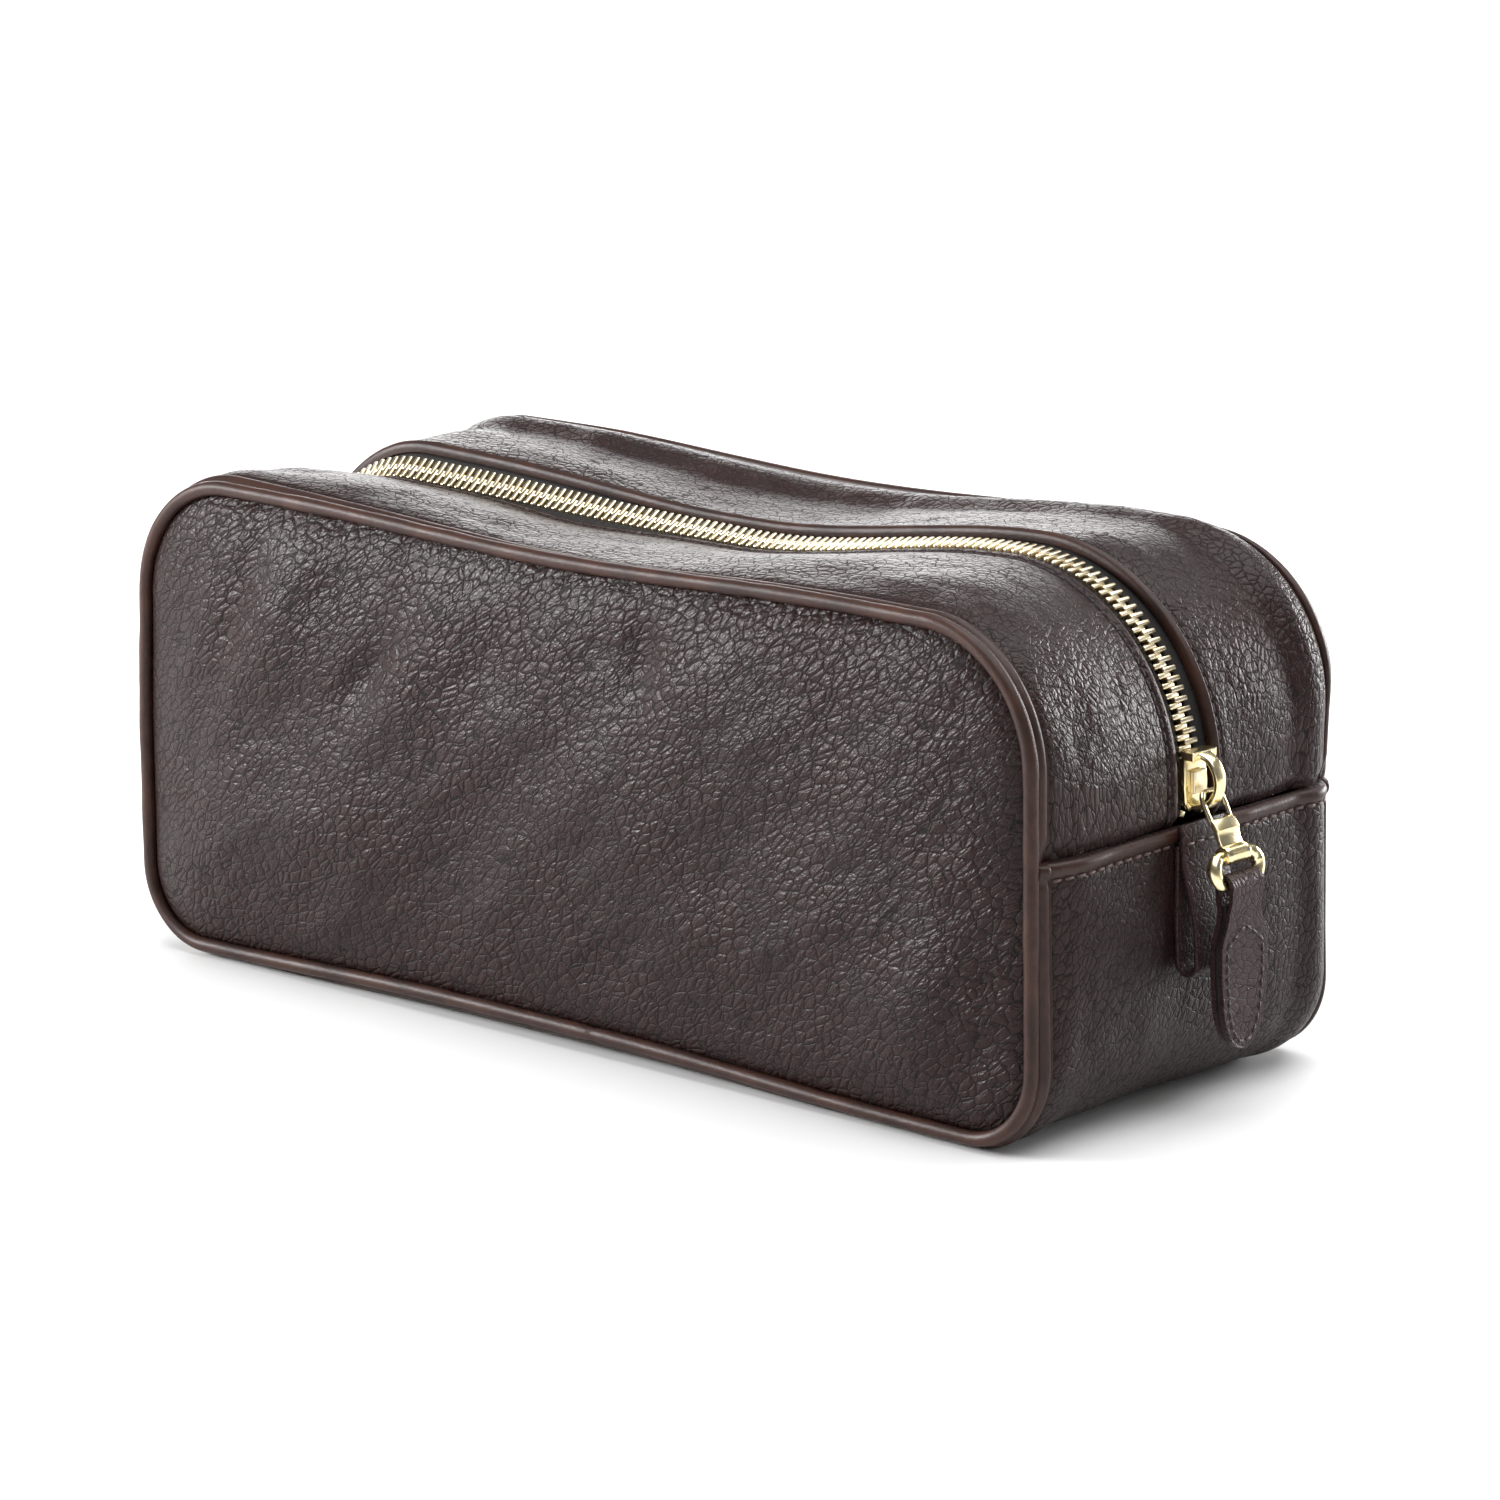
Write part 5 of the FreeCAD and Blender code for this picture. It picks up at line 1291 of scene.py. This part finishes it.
def stitched_half(down):
    """Half width of the stitched leaf on the pull, pointed at its top and its tip."""
    shoulder = np.clip((down - LEAF_TOP) / 4.2, 0, 1)
    side = leaf_half(down) - LEAF_BORDER
    tip = leaf_half(np.minimum(down + 0.8 * LEAF_BORDER, PULL_TIP)) - 0.35
    return np.maximum(np.minimum(side, tip) * shoulder**0.62, 0.0)


def centre_panel(across, down):
    """Height of the strap's face: a groove along the stitches and a fuller middle."""
    low = np.clip(down, LEAF_TOP, PULL_TIP)
    border = LEAF_BORDER + (stitched_half(low) - np.abs(across)) * 0.8 - np.maximum(LEAF_TOP - down, 0.0)
    groove = -0.7 * np.exp(-(((border - LEAF_BORDER) / 0.65) ** 2))
    middle = 0.9 * smooth((border - LEAF_BORDER - 0.35) / 0.7)
    edge = -0.3 * smooth((0.7 - (leaf_half(down) - np.abs(across))) / 0.7)
    return np.where(down > LEAF_TOP - 2.0, groove + middle, 0.0) + edge


def strap_layers():
    """The strap as one strip: up the back, round the ring's bar and down the face."""
    fold = PULL_GAP / 2 + PULL_LAYER / 2
    wrap = 1.25 + 0.15 + PULL_LAYER / 2
    tip = np.linspace(PULL_TIP - 0.05, PULL_TIP - 3, 12)
    downs = np.concatenate([tip, np.linspace(PULL_TIP - 3.6, 3.2, 50)])
    spread = mix(fold, wrap, smooth((7.0 - downs) / 5.5))
    turn = np.linspace(-0.35, math.pi + 0.35, 20)
    arc_out, arc_down = -wrap * np.cos(turn), -wrap * np.sin(turn)
    out = np.concatenate([-spread, arc_out, spread[::-1]])
    down = np.concatenate([downs, arc_down, downs[::-1]])
    face = np.concatenate([np.zeros(len(downs)), np.zeros(len(turn)), np.ones(len(downs))])
    path = np.stack([out, np.zeros(len(out)), down], axis=1)
    tangent = unit(np.gradient(path, axis=0))
    normal = np.cross(tangent, np.array([0.0, 1.0, 0.0]))
    half = leaf_half(down)
    shares = np.sin(np.linspace(-1, 1, LEAF_COLUMNS) * math.pi / 2)
    rings = []
    for index in range(len(path)):
        across = shares * half[index]
        lift = centre_panel(across, np.full(LEAF_COLUMNS, down[index])) * face[index]
        edge = -0.22 * smooth((0.55 - (half[index] - np.abs(across))) / 0.55) * (1 - face[index])
        top = PULL_LAYER / 2 + lift + edge
        middle = path[index] + np.array([0.0, 1.0, 0.0]) * across[:, None]
        under = middle - normal[index] * PULL_LAYER / 2
        rings.append(np.concatenate([middle + normal[index] * top[:, None], under[::-1]]))
    return np.stack(rings)


def pull_strap():
    """The folded strap of the leather pull."""
    rings = RING_BAR + strap_layers() * HANGING
    girth = np.linspace(-LEAF_HALF, LEAF_HALF, LEAF_COLUMNS)
    girth = np.concatenate([girth, girth[::-1]])
    uv = ring_uv(rings, girth)
    rigid_piece(
        "strap_leaf", "pull_strap", rings, swept_faces(rings), STRAP_LEATHER, "strap_leather",
        "leather_pull", uv=uv, sharp=55,
    )


def pull_filler():
    """The filler between the two layers of the pull."""
    tip = np.linspace(PULL_TIP - 2.6, PULL_TIP - 0.15, 10)
    downs = np.concatenate([np.linspace(4.4, PULL_TIP - 3, 40), tip])
    filler = []
    for down in downs:
        wide = float(leaf_half(np.array([down]))[0])
        section = round_section(2 * max(wide - 0.12, 0.3), PULL_GAP + 0.1, 0.1, 2)
        filler.append(np.stack([section[:, 1], section[:, 0], np.full(len(section), down)], axis=1))
    filler = RING_BAR + np.stack(filler) * HANGING
    faces = swept_faces(filler)
    rigid_piece("strap_core", "pull_filler", filler, faces, EDGE_LEATHER, "pull_filler", "leather_pull")


def pull_stitches():
    """The stitched leaf on both faces of the pull."""
    downs = LEAF_TOP + (PULL_TIP - 1.9 - LEAF_TOP) * (1 - np.cos(np.linspace(0, math.pi, 60))) / 2
    half = stitched_half(downs)
    across = np.concatenate([half, -half[::-1]])
    down = np.concatenate([downs, downs[::-1]])
    for face, name in ((1, "face"), (-1, "back")):
        out = face * (PULL_GAP / 2 + PULL_LAYER - (0.25 if face > 0 else 0.0))
        path = RING_BAR + np.stack([np.full(len(across), out), across, down], axis=1) * HANGING
        normals = np.tile([float(face), 0.0, 0.0], (len(path), 1))
        row = stitches(f"strap_{name}_stitches", path, normals, DARK_THREAD, 2.6, closed=True, radius=0.46)
        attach(row, "leather_pull")


# ----------------------------------------------------------------------------- end tabs

TAB_HALF = 7.5
TAB_LAYER = 1.2
TAB_FOLD = (tab_high[0] - tab_low[0]) / 2


def end_tab(end, name, node, body):
    """A strap that leaves the seam, hangs as a narrow loop and returns behind itself."""
    back = GUSSET_HALF + 0.9
    low = tab_low[2] + TAB_FOLD
    centre = tab_low[0] + TAB_FOLD + 0.4
    reach = TAB_FOLD - TAB_LAYER / 2
    turn = np.linspace(0, math.pi, 16)
    front = [(back + 0.9, SEAM + 0.6), (back + 1.5, SEAM - 1.2), (back + 1.75, SEAM - 4)]
    front += [(back + 2.2, SEAM - 9), (centre + reach - 1.0, low + 11), (centre + reach - 0.1, low + 3)]
    front = spline(front, 6)
    curl = np.stack([centre + reach * np.cos(turn), low - reach * np.sin(turn)], axis=1)
    rear = [(centre - reach, low + 2), (back + 0.1, low + 8), (back + 0.25, SEAM - 9), (back + 0.3, SEAM - 4)]
    rear = spline(rear, 6)
    path = np.vstack([front, curl, rear])
    path = np.stack([end * path[:, 0], np.zeros(len(path)), path[:, 1]], axis=1)
    section = round_section(2 * TAB_HALF, TAB_LAYER, 0.4, 3)
    rings = sweep(path, (0, 1, 0), section)
    rigid_piece(
        f"{name}_strap", node, rings, swept_faces(rings), STRAP_LEATHER, "strap_leather", body,
        uv=ring_uv(rings), sharp=50,
    )
    across = np.linspace(-TAB_HALF + 0.8, TAB_HALF - 0.8, 12)
    height = SEAM - 3.4
    out = float(np.interp(-height, -path[:12, 2], np.abs(path[:12, 0]))) + TAB_LAYER / 2
    row = np.stack([np.full(12, end * (out + 0.02)), across, np.full(12, height)], axis=1)
    normals = np.tile([float(end), 0.0, 0.0], (12, 1))
    seam = stitches(f"{name}_stitches", row, normals, BROWN_THREAD)
    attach(seam, body)


# ---------------------------------------------------------------------- floor and lights


def floor():
    """A wide pale floor under the bag."""
    reach = 9000.0
    points = [(-reach, -reach, 0), (reach, -reach, 0), (reach, reach, 0), (-reach, reach, 0)]
    uv = np.array(points)[:, :2] * MM
    piece = make_piece("floor", np.array(points) - [0, 0, 0.3], [(0, 1, 2, 3)], plain_floor(), uv=uv)


def soft_light(name, place_at, aim, size, watts):
    """A large area light aimed at a point."""
    lamp = bpy.data.lights.new(name, "AREA")
    lamp.shape = "RECTANGLE"
    lamp.size, lamp.size_y = size
    lamp.energy = watts
    holder = bpy.data.objects.new(name, lamp)
    holder.location = place_at
    holder.rotation_euler = (Vector(aim) - Vector(place_at)).to_track_quat("-Z", "Y").to_euler()
    bpy.context.scene.collection.objects.link(holder)


def lights():
    """A dim surround, with broad soft lights above, behind the bag and in front of it."""
    world = bpy.data.worlds.new("studio")
    bpy.context.scene.world = world
    world.use_nodes = True
    background = world.node_tree.nodes["Background"]
    background.inputs["Color"].default_value = (1, 1, 1, 1)
    background.inputs["Strength"].default_value = 0.16
    soft_light("overhead", (0.4, 0.3, 2.1), (0, 0, 0), (3.0, 2.4), 86)
    soft_light("back_wall", (-2.0, 2.2, 0.55), (0, 0, 0.1), (2.2, 1.0), 48)
    soft_light("back_right", (0.45, 2.5, 0.36), (0.1, 0, 0.06), (1.4, 0.7), 76)
    soft_light("front_key", (-1.2, -1.0, 0.56), (-0.04, 0, 0.06), (0.8, 0.45), 41)


def camera():
    """A long lens at the front right: its place, the way it faces away from, and its roll."""
    middle = Vector((1.07821, -1.15774, 0.45139))
    back = Vector((0.65936, -0.71230, 0.24057)).normalized()
    right = Vector((-back.y, back.x, 0)).normalized()
    up = back.cross(right)
    roll = math.radians(-0.66)
    across = right * math.cos(roll) + up * math.sin(roll)
    above = up * math.cos(roll) - right * math.sin(roll)
    turn = Matrix((across, above, back)).transposed()
    eye = bpy.data.cameras.new("eye")
    eye.lens = 169.8
    eye.sensor_width = 36.0
    eye.shift_x = 0.0030
    eye.shift_y = 0.0014
    eye.clip_start = 0.05
    eye.clip_end = 60.0
    holder = bpy.data.objects.new("eye", eye)
    holder.matrix_world = Matrix.Translation(middle) @ turn.to_4x4()
    bpy.context.scene.collection.objects.link(holder)
    bpy.context.scene.camera = holder


bpy.context.scene.view_settings.view_transform = "Standard"
camera()
lights()
floor()
panels_and_piping()
top_gusset()
bottom_gusset()
zip_stitches()
seam_stitches()
teeth()
stops()
slider()
link()
ring()
pull_strap()
pull_filler()
pull_stitches()
end_tab(1, "right_tab", "right_end_tab", "right_tab")
end_tab(-1, "left_tab", "left_end_tab", "left_tab")
